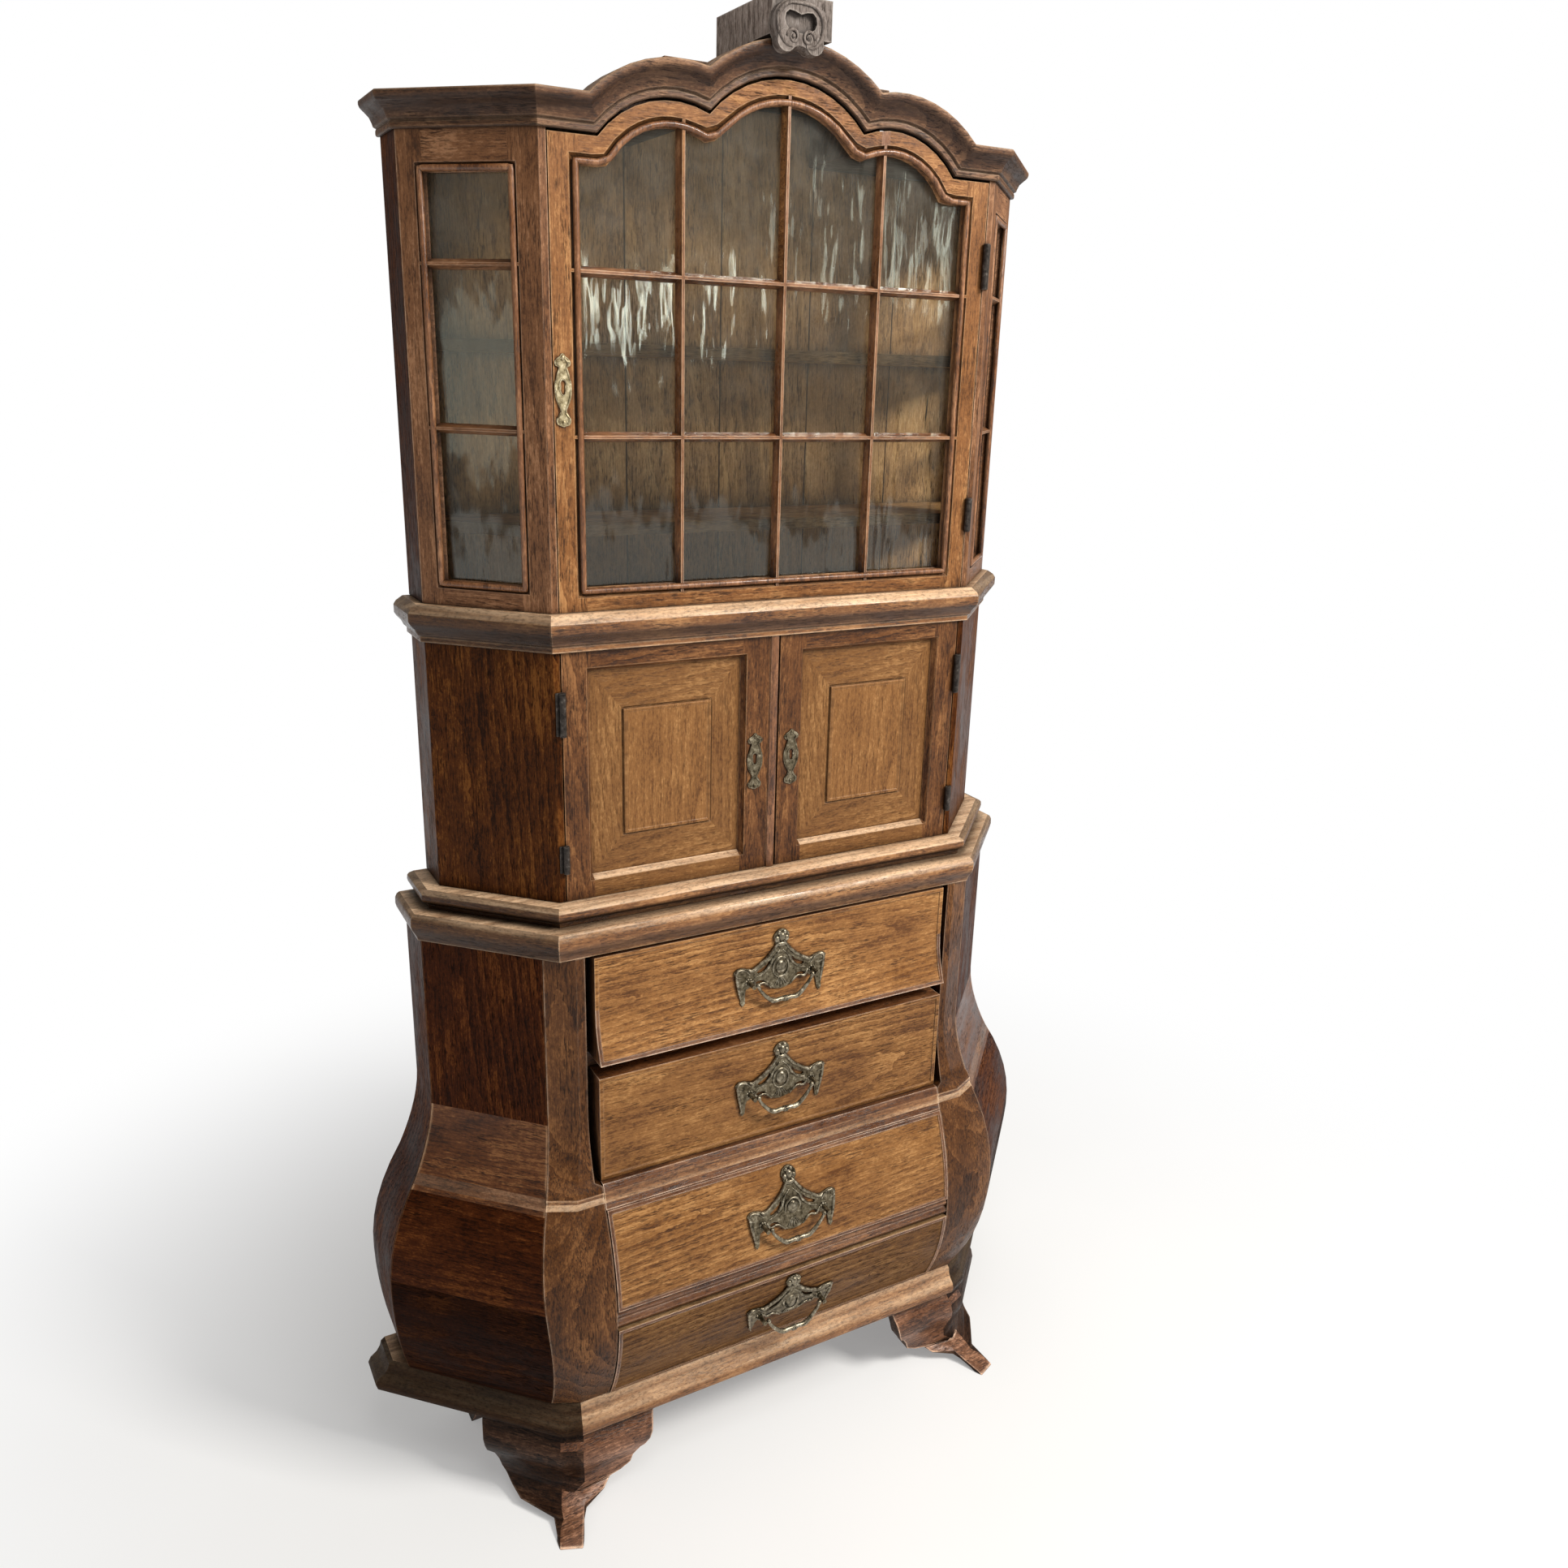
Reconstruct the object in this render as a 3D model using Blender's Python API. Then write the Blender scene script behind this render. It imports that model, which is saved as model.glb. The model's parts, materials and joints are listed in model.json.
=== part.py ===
"""Cabinet on chest: a glazed display case and a low cupboard on a bombe chest of four drawers.

Metres, +Z up. The front faces -Y and the cabinet stands on z = 0, centred on its bounding box.
Inside the script the case frame has y = 0 at the upper case's front; an empty shifts it back.
"""

import math

import bmesh
import bpy
from mathutils import Matrix

# Clearances
GAP = 0.0003
OVERRUN = 0.01
SINK = 0.002
STEP = 0.0005

# Plan of the upper case: a flat front, canted sides and short returns
FRONT_HALF = 0.33
CANT_RUN = 0.132
CASE_DEPTH = 0.205
UPPER_BOARD = 0.020
UPPER_BACK_BOARD = 0.018
POST_STRIP = 0.0095

# Heights, from the floor up
BASE_UNDER = 0.136
BASE_TALL = 0.054
BELLY_TALL = 0.350
HOLLOW_TALL = 0.120
STRAIGHT_TALL = 0.2557
CHEST_TOP_TALL = 0.0413
UPPER_BASE_TALL = 0.0292
CUPBOARD_TALL = 0.3518
MID_TALL = 0.051
VITRINE_TALL = 0.564
BASE_TOP = BASE_UNDER + BASE_TALL
CREASE_Z = BASE_TOP + BELLY_TALL
STRAIGHT_Z = CREASE_Z + HOLLOW_TALL
CHEST_TOP_UNDER = STRAIGHT_Z + STRAIGHT_TALL
WAIST_JOINT = CHEST_TOP_UNDER + CHEST_TOP_TALL
CUPBOARD_FLOOR = WAIST_JOINT + UPPER_BASE_TALL
MID_UNDER = CUPBOARD_FLOOR + CUPBOARD_TALL
MID_TOP = MID_UNDER + MID_TALL
CORNICE_UNDER = MID_TOP + VITRINE_TALL

# Bombe chest: offsets from the upper case's planes
FRONT_STRAIGHT = 0.037
FRONT_CREASE = 0.066
FRONT_WIDEST = 0.114
FRONT_WIDEST_RISE = 0.155
FRONT_WIDEST_Z = BASE_TOP + FRONT_WIDEST_RISE
FRONT_AT_BASE = 0.072
CANT_STRAIGHT = 0.034
CANT_CREASE = 0.068
CANT_WIDEST = 0.119
CANT_WIDEST_RISE = 0.185
CANT_WIDEST_Z = BASE_TOP + CANT_WIDEST_RISE
CANT_AT_BASE = 0.076
SIDE_AT_BASE = 0.095
FLARE_POWER_SHARE = 1.7
CHEST_INNER = 0.014
CHEST_BACK_BOARD = 0.012
FACET_FRONT_STRAIGHT = 0.019
FACET_FRONT_WIDEST = 0.024
FACET_CANT_STRAIGHT = 0.031
FACET_CANT_WIDEST = 0.022
POST_BACK = -0.005
POST_FACE_UPPER = 0.021
POST_FACE_LOWER = 0.0315
POST_EDGE_UPPER = FRONT_HALF - POST_FACE_UPPER
POST_EDGE_LOWER = FRONT_HALF - POST_FACE_LOWER
CREASE_BEAD = 0.0035
CREASE_BEAD_HALF = 0.011
UPPER_RINGS = 6
LOWER_RINGS = 12
BEAD_RINGS = 4
RAIL_RINGS = 8

# Plinth moulding on the chest's base
PLINTH_FRONT = 0.089
PLINTH_SIDE = 0.143
PLINTH_CUT = 0.019
PLINTH_SHARES = (
    (0.00, 0.91),
    (0.10, 0.98),
    (0.28, 1.00),
    (0.44, 0.97),
    (0.58, 0.90),
    (0.75, 0.86),
    (0.91, 0.845),
    (1.00, 0.80),
)

# Waist and middle mouldings: shares of the board's height and of its reach
WAIST_LOWER_REACH = 0.048
WAIST_UPPER_REACH = 0.029
MID_REACH = 0.022
WAIST_LOWER_SHARES = (
    (0.00, 0.80),
    (0.14, 0.83),
    (0.30, 0.90),
    (0.44, 0.97),
    (0.60, 1.00),
    (0.82, 0.99),
    (0.94, 0.94),
    (1.00, 0.86),
)
WAIST_UPPER_SHARES = (
    (0.00, 0.62),
    (0.26, 0.66),
    (0.36, 0.84),
    (0.50, 0.97),
    (0.64, 1.00),
    (0.84, 0.98),
    (0.94, 0.88),
    (1.00, 0.66),
)
MID_SHARES = (
    (0.00, 0.28),
    (0.16, 0.28),
    (0.20, 0.45),
    (0.34, 0.60),
    (0.46, 0.86),
    (0.56, 1.00),
    (0.78, 1.00),
    (0.88, 0.84),
    (1.00, 0.42),
)

# Cornice: three lobes over the door, straight elsewhere
CORNICE_HEIGHT = 0.039
CORNICE_REACH = 0.024
SIDE_LOBE_INSET = 0.172
SIDE_LOBE_X = FRONT_HALF - SIDE_LOBE_INSET
SIDE_LOBE_DROP = 0.082
SIDE_LOBE_Z = CORNICE_UNDER - SIDE_LOBE_DROP
SIDE_LOBE_RADIUS = 0.130
CENTRE_LOBE_DROP = 0.0631
CENTRE_LOBE_Z = CORNICE_UNDER - CENTRE_LOBE_DROP
CENTRE_LOBE_RADIUS = 0.1521
SIDE_LOBE_STEPS = 8
CENTRE_LOBE_STEPS = 12
CORNICE_SHARES = (
    (0.00, 0.17),
    (0.04, 0.23),
    (0.17, 0.23),
    (0.22, 0.17),
    (0.26, 0.33),
    (0.36, 0.38),
    (0.52, 0.50),
    (0.66, 0.74),
    (0.72, 0.86),
    (0.78, 0.95),
    (0.86, 1.00),
    (0.95, 1.00),
    (1.00, 0.93),
)
FRIEZE_THICK = 0.022

# Roof: a raised flat middle with lower sides
ROOF_BOARD = 0.012
ROOF_SIDE_RISE = 0.032
ROOF_STEP = 0.065
ROOF_SIDE_Z = CORNICE_UNDER + ROOF_SIDE_RISE
ROOF_TOP_Z = ROOF_SIDE_Z + ROOF_STEP
ROOF_RISER_X = 0.150
ROOF_OVERHANG = 0.012

# Crest and its block
CREST_X = -0.010
CREST_HALF = 0.036
CREST_CLEAR = 0.010
CREST_TALL = 0.058
CREST_LOW = ROOF_TOP_Z + CREST_CLEAR
CREST_TOP = CREST_LOW + CREST_TALL
CREST_THICK = 0.016
CREST_ROUND = 0.004
CREST_SMOOTH = 3
VOLUTE_RADIUS = 0.0125
VOLUTE_INSET_SHARE = 1.3
HOLLOW_DEPTH = 0.007
CREST_SHARES = (
    (0.00, 1.00),
    (0.55, 0.96),
    (0.92, 0.76),
    (1.00, 0.50),
    (0.86, 0.24),
    (0.62, 0.06),
    (0.36, 0.02),
    (0.14, 0.10),
)
HOLLOW_SHARES = (
    (0.00, 0.72),
    (0.45, 0.78),
    (0.62, 0.60),
    (0.40, 0.42),
    (0.00, 0.38),
)
BLOCK_HALF = 0.042
BLOCK_OVER_CREST = 0.008
BLOCK_TOP = CREST_TOP + BLOCK_OVER_CREST
BLOCK_DEPTH = 0.126

# Drawers, from the top: lower edge and upper edge
DRAWER_MARGIN = 0.0325
DRAWER_HALF = FRONT_HALF - DRAWER_MARGIN
DRAWER_CLEAR = 0.0007
TOP_DRAWER_CLEAR = 0.0024
TOP_DRAWER_TALL = 0.1617
TOP_RAIL_TALL = 0.0242
RAIL_OVER_CREASE = 0.0191
RAIL_UNDER_CREASE = 0.0178
THIRD_DRAWER_TALL = 0.1508
LOWER_RAIL_TALL = 0.0335
TOP_DRAWER_HIGH = CHEST_TOP_UNDER - TOP_DRAWER_CLEAR
TOP_DRAWER_LOW = TOP_DRAWER_HIGH - TOP_DRAWER_TALL
THIRD_DRAWER_HIGH = CREASE_Z - RAIL_UNDER_CREASE
THIRD_DRAWER_LOW = THIRD_DRAWER_HIGH - THIRD_DRAWER_TALL
DRAWER_LOWS = (
    TOP_DRAWER_LOW,
    CREASE_Z + RAIL_OVER_CREASE,
    THIRD_DRAWER_LOW,
    BASE_TOP + DRAWER_CLEAR,
)
DRAWER_HIGHS = (
    TOP_DRAWER_HIGH,
    TOP_DRAWER_LOW - TOP_RAIL_TALL,
    THIRD_DRAWER_HIGH,
    THIRD_DRAWER_LOW - LOWER_RAIL_TALL,
)
TOP_DRAWER_REACH = 0.040
TOP_DRAWER_FLARE = 0.019
TOP_DRAWER_FLARE_DROP = 0.0857
TOP_DRAWER_FLARE_Z = CHEST_TOP_UNDER - TOP_DRAWER_FLARE_DROP
SECOND_DRAWER_REACH = 0.051
UPPER_FACE_BACK = -0.010
LOWER_FACE_BACK = -0.030
DRAWER_BEAD_WIDE = 0.006
DRAWER_BEAD_PROUD = 0.002
DRAWER_RINGS = 6
BOX_INSET = 0.0095
BOX_SIDE = 0.010
BOX_FLOOR = 0.008
BOX_BACK_CLEAR = 0.025
BOX_BACK = CASE_DEPTH - BOX_BACK_CLEAR
BOX_HEADROOM = 0.012
GUIDE_TALL = 0.012
GUIDE_WIDE = 0.010
GUIDE_PLAY = 0.0008
RAIL_UPPER_SETBACK = 0.010
RAIL_LOWER_SETBACK = 0.0015
RAIL_BEAD = 0.004

# Handles
PLATE_HALF = 0.079
PLATE_TALLS = (0.113, 0.113, 0.113, 0.098)
PLATE_THICK = 0.0025
PLATE_DROPS = (0.0133, 0.0129, 0.0112, 0.0094)
PLATE_TOPS = tuple(high - drop for high, drop in zip(DRAWER_HIGHS, PLATE_DROPS))
PLATE_SLICES = 10
POST_RADIUS = 0.0036
POST_X = 0.0545
POST_HEIGHT_SHARE = 0.32
PIVOT_OUT = 0.019
BAIL_RADIUS = 0.0030
BAIL_DROP = 0.031
BAIL_POINTS = 17
BAIL_STUB = 0.005
BAIL_BOW_SHARE = 2.6
BAIL_SWELL_SHARE = 0.35
PLATE_HALF_SHARES = (
    (0.00, 1.00),
    (0.11, 0.97),
    (0.17, 0.89),
    (0.12, 0.80),
    (0.28, 0.66),
    (0.46, 0.56),
    (0.64, 0.50),
    (0.84, 0.54),
    (1.00, 0.50),
    (0.95, 0.41),
    (0.90, 0.30),
    (0.88, 0.14),
    (0.84, 0.00),
    (0.78, 0.12),
    (0.75, 0.22),
    (0.62, 0.25),
    (0.50, 0.31),
    (0.36, 0.30),
    (0.22, 0.19),
    (0.10, 0.15),
)
PLATE_SLOT_SHARES = (
    (0.24, 0.575),
    (0.30, 0.53),
    (0.44, 0.475),
    (0.52, 0.43),
    (0.40, 0.425),
    (0.28, 0.50),
)

# Feet
FOOT_BRACKET_THICK = 0.028
FOOT_TOE_REACH = 0.155
FOOT_WING = 0.105
FOOT_FRONT_REACH = FRONT_HALF - FOOT_WING
FOOT_CANT_REACH = 0.153
LEG_HALF = 0.006
LEG_THICK = 0.034
TOE_CUT = 0.019
# height, wing offset, leg offset and how far the front and the cant bracket still reach, as shares
FOOT_SHARES = (
    (0.00, 0.92, 1.00, 0.00, 0.00),
    (0.03, 0.88, 0.955, 0.00, 0.00),
    (0.075, 0.74, 0.83, 0.00, 0.05),
    (0.11, 0.66, 0.74, 0.02, 0.50),
    (0.15, 0.56, 0.65, 0.26, 0.62),
    (0.23, 0.50, 0.55, 0.34, 0.70),
    (0.25, 0.49, 0.53, 0.50, 0.72),
    (0.30, 0.485, 0.505, 0.64, 0.76),
    (0.40, 0.49, 0.495, 0.68, 0.80),
    (0.52, 0.53, 0.53, 0.78, 0.85),
    (0.55, 0.545, 0.545, 0.84, 0.95),
    (0.65, 0.58, 0.58, 0.90, 0.97),
    (0.74, 0.587, 0.587, 0.93, 0.985),
    (0.83, 0.565, 0.565, 0.95, 0.99),
    (0.90, 0.52, 0.52, 0.97, 1.00),
    (1.00, 0.48, 0.48, 1.00, 1.00),
)
REAR_FOOT_INSET = 0.006
REAR_FOOT_CLEAR = 0.001
REAR_FOOT_WIDE = 0.076
REAR_FOOT_DEEP = 0.064
REAR_FOOT_OUTER = FRONT_HALF + CANT_RUN - REAR_FOOT_INSET
REAR_FOOT_INNER = REAR_FOOT_OUTER - REAR_FOOT_WIDE
REAR_FOOT_BACK = CASE_DEPTH - REAR_FOOT_CLEAR
REAR_FOOT_FRONT = REAR_FOOT_BACK - REAR_FOOT_DEEP
# height, how far the inner faces taper in and how far the outer face reaches, as shares
REAR_FOOT_SHARES = (
    (0.00, 0.62, 1.00),
    (0.08, 0.55, 0.94),
    (0.30, 0.48, 0.80),
    (0.55, 0.30, 0.92),
    (0.80, 0.12, 1.00),
    (1.00, 0.00, 0.97),
)

# Doors
DOOR_THICK = 0.020
DOOR_MARGIN = 0.0108
DOOR_HALF = FRONT_HALF - DOOR_MARGIN
DOOR_CLEAR = 0.0005
DOOR_UNDER_CORNICE = 0.003
PIN_MARGIN = 0.010
PIN_X = FRONT_HALF - PIN_MARGIN
KNUCKLE_RADIUS = 0.0045
DOOR_STILE = 0.0378
GLASS_HALF = DOOR_HALF - DOOR_STILE
DOOR_BOTTOM_RAIL = 0.0306
DOOR_TOP_RAIL = 0.035
GLASS_LOW = MID_TOP + DOOR_BOTTOM_RAIL
GLASS_STRAIGHT_TOP = CORNICE_UNDER - DOOR_TOP_RAIL
GLASS_DROP = 0.032
VALLEY_ROUND = 0.032
DOOR_MOULDING = 0.012
MUNTIN = 0.0125
MUNTIN_FLARE = 0.0043
SIDE_PANE = 0.1354
DOOR_MUNTIN_X = GLASS_HALF - SIDE_PANE
DOOR_MUNTIN_XS = (-DOOR_MUNTIN_X, 0.0, DOOR_MUNTIN_X)
LOW_PANE = 0.1889
TOP_PANE = 0.1163
DOOR_MUNTIN_ZS = (GLASS_LOW + LOW_PANE, GLASS_STRAIGHT_TOP - TOP_PANE)
FLARE_SHARES = ((0.04, 1.0), (0.16, 0.80), (0.32, 0.42), (0.50, 0.0))
MUNTIN_DEPTH = 0.0113
REBATE = 0.006
GLASS_THICK = 0.003
PANE_STEPS = 10

# Side windows: distances along the cant from the front corner
WINDOW_NEAR = 0.040
WINDOW_FAR = 0.152
WINDOW_SILL = 0.033
WINDOW_HEAD = 0.046
LOW_SIDE_PANE = 0.1915
TOP_SIDE_PANE = 0.101
WINDOW_LOW = MID_TOP + WINDOW_SILL
WINDOW_HIGH = CORNICE_UNDER - WINDOW_HEAD
WINDOW_MUNTIN_ZS = (WINDOW_LOW + LOW_SIDE_PANE, WINDOW_HIGH - TOP_SIDE_PANE)
WINDOW_MOULDING = 0.010

# Cupboard doors and panels
MEETING_LEFT = 0.0055
MEETING_RIGHT = 0.0082
BEAD_LEFT = -0.008
BEAD_PROUD = 0.004
CUPBOARD_STILE = 0.0412
PANEL_OUTER = DOOR_HALF - CUPBOARD_STILE
PANEL_INNER = 0.0515
PANEL_SILL = 0.0318
PANEL_HEAD = 0.030
PANEL_LOW = CUPBOARD_FLOOR + PANEL_SILL
PANEL_HIGH = MID_UNDER - PANEL_HEAD
PANEL_MOULDING = 0.006
PANEL_REBATE_DEPTH = 0.010
PANEL_TONGUE = 0.006
PANEL_THICK = 0.006
FIELD_BORDER = 0.047
FIELD_OUTER = PANEL_OUTER - FIELD_BORDER
FIELD_INNER = PANEL_INNER + FIELD_BORDER
FIELD_SILL = 0.054
FIELD_HEAD = 0.0555
FIELD_LOW = PANEL_LOW + FIELD_SILL
FIELD_HIGH = PANEL_HIGH - FIELD_HEAD
FIELD_STEP = 0.003
FIELD_SLOPE = 0.004

# Shelves
SHELF_THICK = 0.015
SHELF_FRONT = 0.030
LOWER_SHELF_RISE = 0.108
UPPER_SHELF_RISE = 0.3325
SHELF_TOPS = (MID_TOP + LOWER_SHELF_RISE, MID_TOP + UPPER_SHELF_RISE)

# Hinges: lower end, upper end
GLAZED_HINGE_TALLS = (0.049, 0.060)
GLAZED_HINGE_RISE = 0.084
GLAZED_HINGE_DROP = 0.081
CUPBOARD_HINGE_TALLS = (0.040, 0.060)
CUPBOARD_HINGE_RISE = 0.0438
CUPBOARD_HINGE_DROP = 0.053
GLAZED_HINGE_LOW = MID_TOP + GLAZED_HINGE_RISE
GLAZED_HINGE_HIGH = CORNICE_UNDER - GLAZED_HINGE_DROP
CUPBOARD_HINGE_LOW = CUPBOARD_FLOOR + CUPBOARD_HINGE_RISE
CUPBOARD_HINGE_HIGH = MID_UNDER - CUPBOARD_HINGE_DROP
GLAZED_HINGES = (
    (GLAZED_HINGE_LOW, GLAZED_HINGE_LOW + GLAZED_HINGE_TALLS[0]),
    (GLAZED_HINGE_HIGH - GLAZED_HINGE_TALLS[1], GLAZED_HINGE_HIGH),
)
CUPBOARD_HINGES = (
    (CUPBOARD_HINGE_LOW, CUPBOARD_HINGE_LOW + CUPBOARD_HINGE_TALLS[0]),
    (CUPBOARD_HINGE_HIGH - CUPBOARD_HINGE_TALLS[1], CUPBOARD_HINGE_HIGH),
)
LEAF_WIDE = 0.0085
LEAF_THICK = 0.002

# Escutcheons
ESCUTCHEON_THICK = 0.0016
GLAZED_KEY_INSET = 0.0117
GLAZED_KEY_RISE = 0.2745
GLAZED_KEY_HALF = 0.0110
GLAZED_KEY_TALL = 0.0875
CUPBOARD_KEY_X = 0.030
CUPBOARD_KEY_RISE = 0.1683
CUPBOARD_KEY_HALF = 0.0125
CUPBOARD_KEY_TALL = 0.085
GLAZED_KEY = (
    GLAZED_KEY_INSET - DOOR_HALF,
    MID_TOP + GLAZED_KEY_RISE,
    GLAZED_KEY_HALF,
    GLAZED_KEY_TALL,
)
CUPBOARD_KEY_SIZE = (CUPBOARD_FLOOR + CUPBOARD_KEY_RISE, CUPBOARD_KEY_HALF, CUPBOARD_KEY_TALL)
CUPBOARD_KEYS = ((-CUPBOARD_KEY_X, *CUPBOARD_KEY_SIZE), (CUPBOARD_KEY_X, *CUPBOARD_KEY_SIZE))
ESCUTCHEON_SHARES = (
    (0.00, 0.50),
    (0.30, 0.46),
    (0.95, 0.39),
    (0.80, 0.33),
    (0.35, 0.30),
    (0.62, 0.22),
    (0.95, 0.12),
    (1.00, 0.02),
    (0.90, -0.10),
    (0.55, -0.21),
    (0.35, -0.28),
    (0.85, -0.38),
    (0.70, -0.46),
)
KEYHOLE_SHARES = (
    (0.22, 0.06),
    (0.26, 0.11),
    (0.00, 0.145),
    (-0.26, 0.11),
    (-0.22, 0.06),
    (-0.13, -0.045),
    (0.13, -0.045),
)

# Fineness of round shapes
ROUND_SIDES = 12
POST_SIDES = 10
VOLUTE_SIDES = 16
CURVE_STEPS = 2
SHARP_DEGREES = 35
MITRE_DEGREES = 22.5

# Derived values
ROOT2 = math.sqrt(2.0)
TAN_MITRE = math.tan(math.radians(MITRE_DEGREES))
TOE_Y = -FOOT_TOE_REACH
FRONT_Y = -(TOE_Y + CASE_DEPTH) / 2
SIDE_X = FRONT_HALF + CANT_RUN
POST_EDGE_X = FRONT_HALF - POST_STRIP
BACK_INNER_Y = CASE_DEPTH - UPPER_BACK_BOARD
PIN_Y = -KNUCKLE_RADIUS - GAP
ROOF_SIDE_UNDER = ROOF_SIDE_Z - ROOF_BOARD

OAK = (0.23, 0.105, 0.042)
OAK_FRONT = (0.36, 0.18, 0.068)
OAK_DARK = (0.085, 0.036, 0.018)
BRONZE = (0.16, 0.15, 0.11)
BRASS = (0.50, 0.40, 0.22)
IRON = (0.035, 0.03, 0.028)
GLASS = (0.55, 0.58, 0.55)


def clear_scene():
    for thing in list(bpy.data.objects):
        bpy.data.objects.remove(thing, do_unlink=True)


def new_collection(name):
    made = bpy.data.collections.new(name)
    bpy.context.scene.collection.children.link(made)
    return made


def new_material(name, colour, roughness, metallic=0.0, transmission=0.0):
    made = bpy.data.materials.new(name)
    made.use_nodes = True
    shader = made.node_tree.nodes["Principled BSDF"]
    shader.inputs["Base Color"].default_value = (*colour, 1.0)
    shader.inputs["Roughness"].default_value = roughness
    shader.inputs["Metallic"].default_value = metallic
    shader.inputs["Transmission Weight"].default_value = transmission
    return made


clear_scene()
PARTS = new_collection("cabinet_on_chest")
TOOLS = new_collection("cutters")
FRAME = bpy.data.objects.new("case_frame", None)
FRAME.location = (0, FRONT_Y, 0)
PARTS.objects.link(FRAME)
WOOD = new_material("oak", OAK, 0.5)
WOOD_FRONT = new_material("oak_drawer_front", OAK_FRONT, 0.45)
WOOD_DARK = new_material("oak_dark", OAK_DARK, 0.55)
METAL_BRONZE = new_material("bronze", BRONZE, 0.45, 1.0)
METAL_BRASS = new_material("brass", BRASS, 0.4, 1.0)
METAL_IRON = new_material("iron", IRON, 0.6, 1.0)
PANE_GLASS = new_material("glass", GLASS, 0.05, 0.0, 0.9)


def new_object(name, shape, material, origin=(0, 0, 0), smooth=False):
    """One piece from a bmesh in the case frame, with its own origin."""
    bmesh.ops.recalc_face_normals(shape, faces=shape.faces)
    bmesh.ops.translate(shape, verts=shape.verts, vec=[-value for value in origin])
    mesh = bpy.data.meshes.new(name)
    shape.to_mesh(mesh)
    shape.free()
    mesh.materials.append(material)
    piece = bpy.data.objects.new(name, mesh)
    piece.parent = FRAME
    piece.location = origin
    PARTS.objects.link(piece)
    if smooth:
        mesh.shade_smooth()
        mesh.set_sharp_from_angle(angle=math.radians(SHARP_DEGREES))
    return piece


def new_tool(name, shape):
    """A hidden shape that cuts a piece or is joined to it."""
    tool = new_object(name, shape, WOOD)
    PARTS.objects.unlink(tool)
    TOOLS.objects.link(tool)
    tool.hide_render = True
    tool.display_type = "WIRE"
    return tool


def combine(piece, tool, operation):
    change = piece.modifiers.new(tool.name, "BOOLEAN")
    change.operation = operation
    change.object = tool


def loft(shape, rings):
    """Skin rings of equally many points, with a flat cap at each end."""
    layers = [[shape.verts.new(point) for point in ring] for ring in rings]
    count = len(layers[0])
    for low, high in zip(layers, layers[1:]):
        for i in range(count):
            j = (i + 1) % count
            shape.faces.new((low[i], low[j], high[j], high[i]))
    shape.faces.new(layers[0])
    shape.faces.new(layers[-1])


def upright(shape, plan, low, high):
    """A plan outline carried straight up from low to high."""
    loft(shape, [[(x, y, z) for x, y in plan] for z in (low, high)])


def box(shape, low, high):
    made = bmesh.ops.create_cube(shape, size=1.0)
    size = [b - a for a, b in zip(low, high)]
    centre = [(a + b) / 2 for a, b in zip(low, high)]
    bmesh.ops.scale(shape, verts=made["verts"], vec=size)
    bmesh.ops.translate(shape, verts=made["verts"], vec=centre)


def rod(shape, radius, centre, length, axis, sides=ROUND_SIDES):
    """A cylinder along Y or Z about its centre."""
    quarter = math.pi / 2
    turns = {"Y": Matrix.Rotation(quarter, 4, "X"), "Z": Matrix()}
    bmesh.ops.create_cone(
        shape,
        cap_ends=True,
        segments=sides,
        radius1=radius,
        radius2=radius,
        depth=length,
        matrix=Matrix.Translation(centre) @ turns[axis],
    )


def mirrored(points):
    return [(-x, y) for x, y in reversed(points)]


def both_sides(left):
    """A left half plan, from the back round to the front, and its mirror image."""
    return left + mirrored(left)


def case_plan(front, cant, side, back=CASE_DEPTH, cut=0.0):
    """The case's plan with each plane moved out by its own offset, and the front corners cut."""
    side_x = SIDE_X + side
    corner_x = FRONT_HALF + ROOT2 * cant - front
    left = [(-side_x, back), (-side_x, side_x - FRONT_HALF - ROOT2 * cant)]
    if cut:
        left.append((-corner_x - cut / ROOT2, -front + cut / ROOT2))
        left.append((-corner_x + cut, -front))
    else:
        left.append((-corner_x, -front))
    return both_sides(left)


def moulded_board(shape, low, high, shares, reach, side_reach=None, cut=0.0, notch=False):
    """A board whose edge is a moulding: shares of its height and of its reach."""
    rings = []
    for height_share, reach_share in shares:
        z = low + (high - low) * height_share
        side = (side_reach or reach) * reach_share
        plan = case_plan(reach * reach_share, reach * reach_share, side, cut=cut * reach_share)
        if notch:
            inner_x = SIDE_X - UPPER_BOARD
            plan += [(inner_x, CASE_DEPTH), (inner_x, BACK_INNER_Y - GAP)]
            plan += [(-inner_x, BACK_INNER_Y - GAP), (-inner_x, CASE_DEPTH)]
        rings.append([(x, y, z) for x, y in plan])
    loft(shape, rings)


def belly(z, crease, widest, widest_z, at_base):
    """Offset of the bulge at height z, one parabola up to the crease and one down to the base."""
    if z > widest_z:
        return widest - (widest - crease) * ((z - widest_z) / (CREASE_Z - widest_z)) ** 2
    return widest - (widest - at_base) * ((widest_z - z) / (widest_z - BASE_TOP)) ** 2


def above_crease(z, straight, crease):
    rise = max(0.0, (STRAIGHT_Z - z) / (STRAIGHT_Z - CREASE_Z))
    return straight + (crease - straight) * rise**FLARE_POWER_SHARE


def front_offset(z):
    if z >= CREASE_Z:
        return above_crease(z, FRONT_STRAIGHT, FRONT_CREASE)
    return belly(z, FRONT_CREASE, FRONT_WIDEST, FRONT_WIDEST_Z, FRONT_AT_BASE)


def cant_offset(z):
    if z >= CREASE_Z:
        return above_crease(z, CANT_STRAIGHT, CANT_CREASE)
    return belly(z, CANT_CREASE, CANT_WIDEST, CANT_WIDEST_Z, CANT_AT_BASE)


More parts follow.
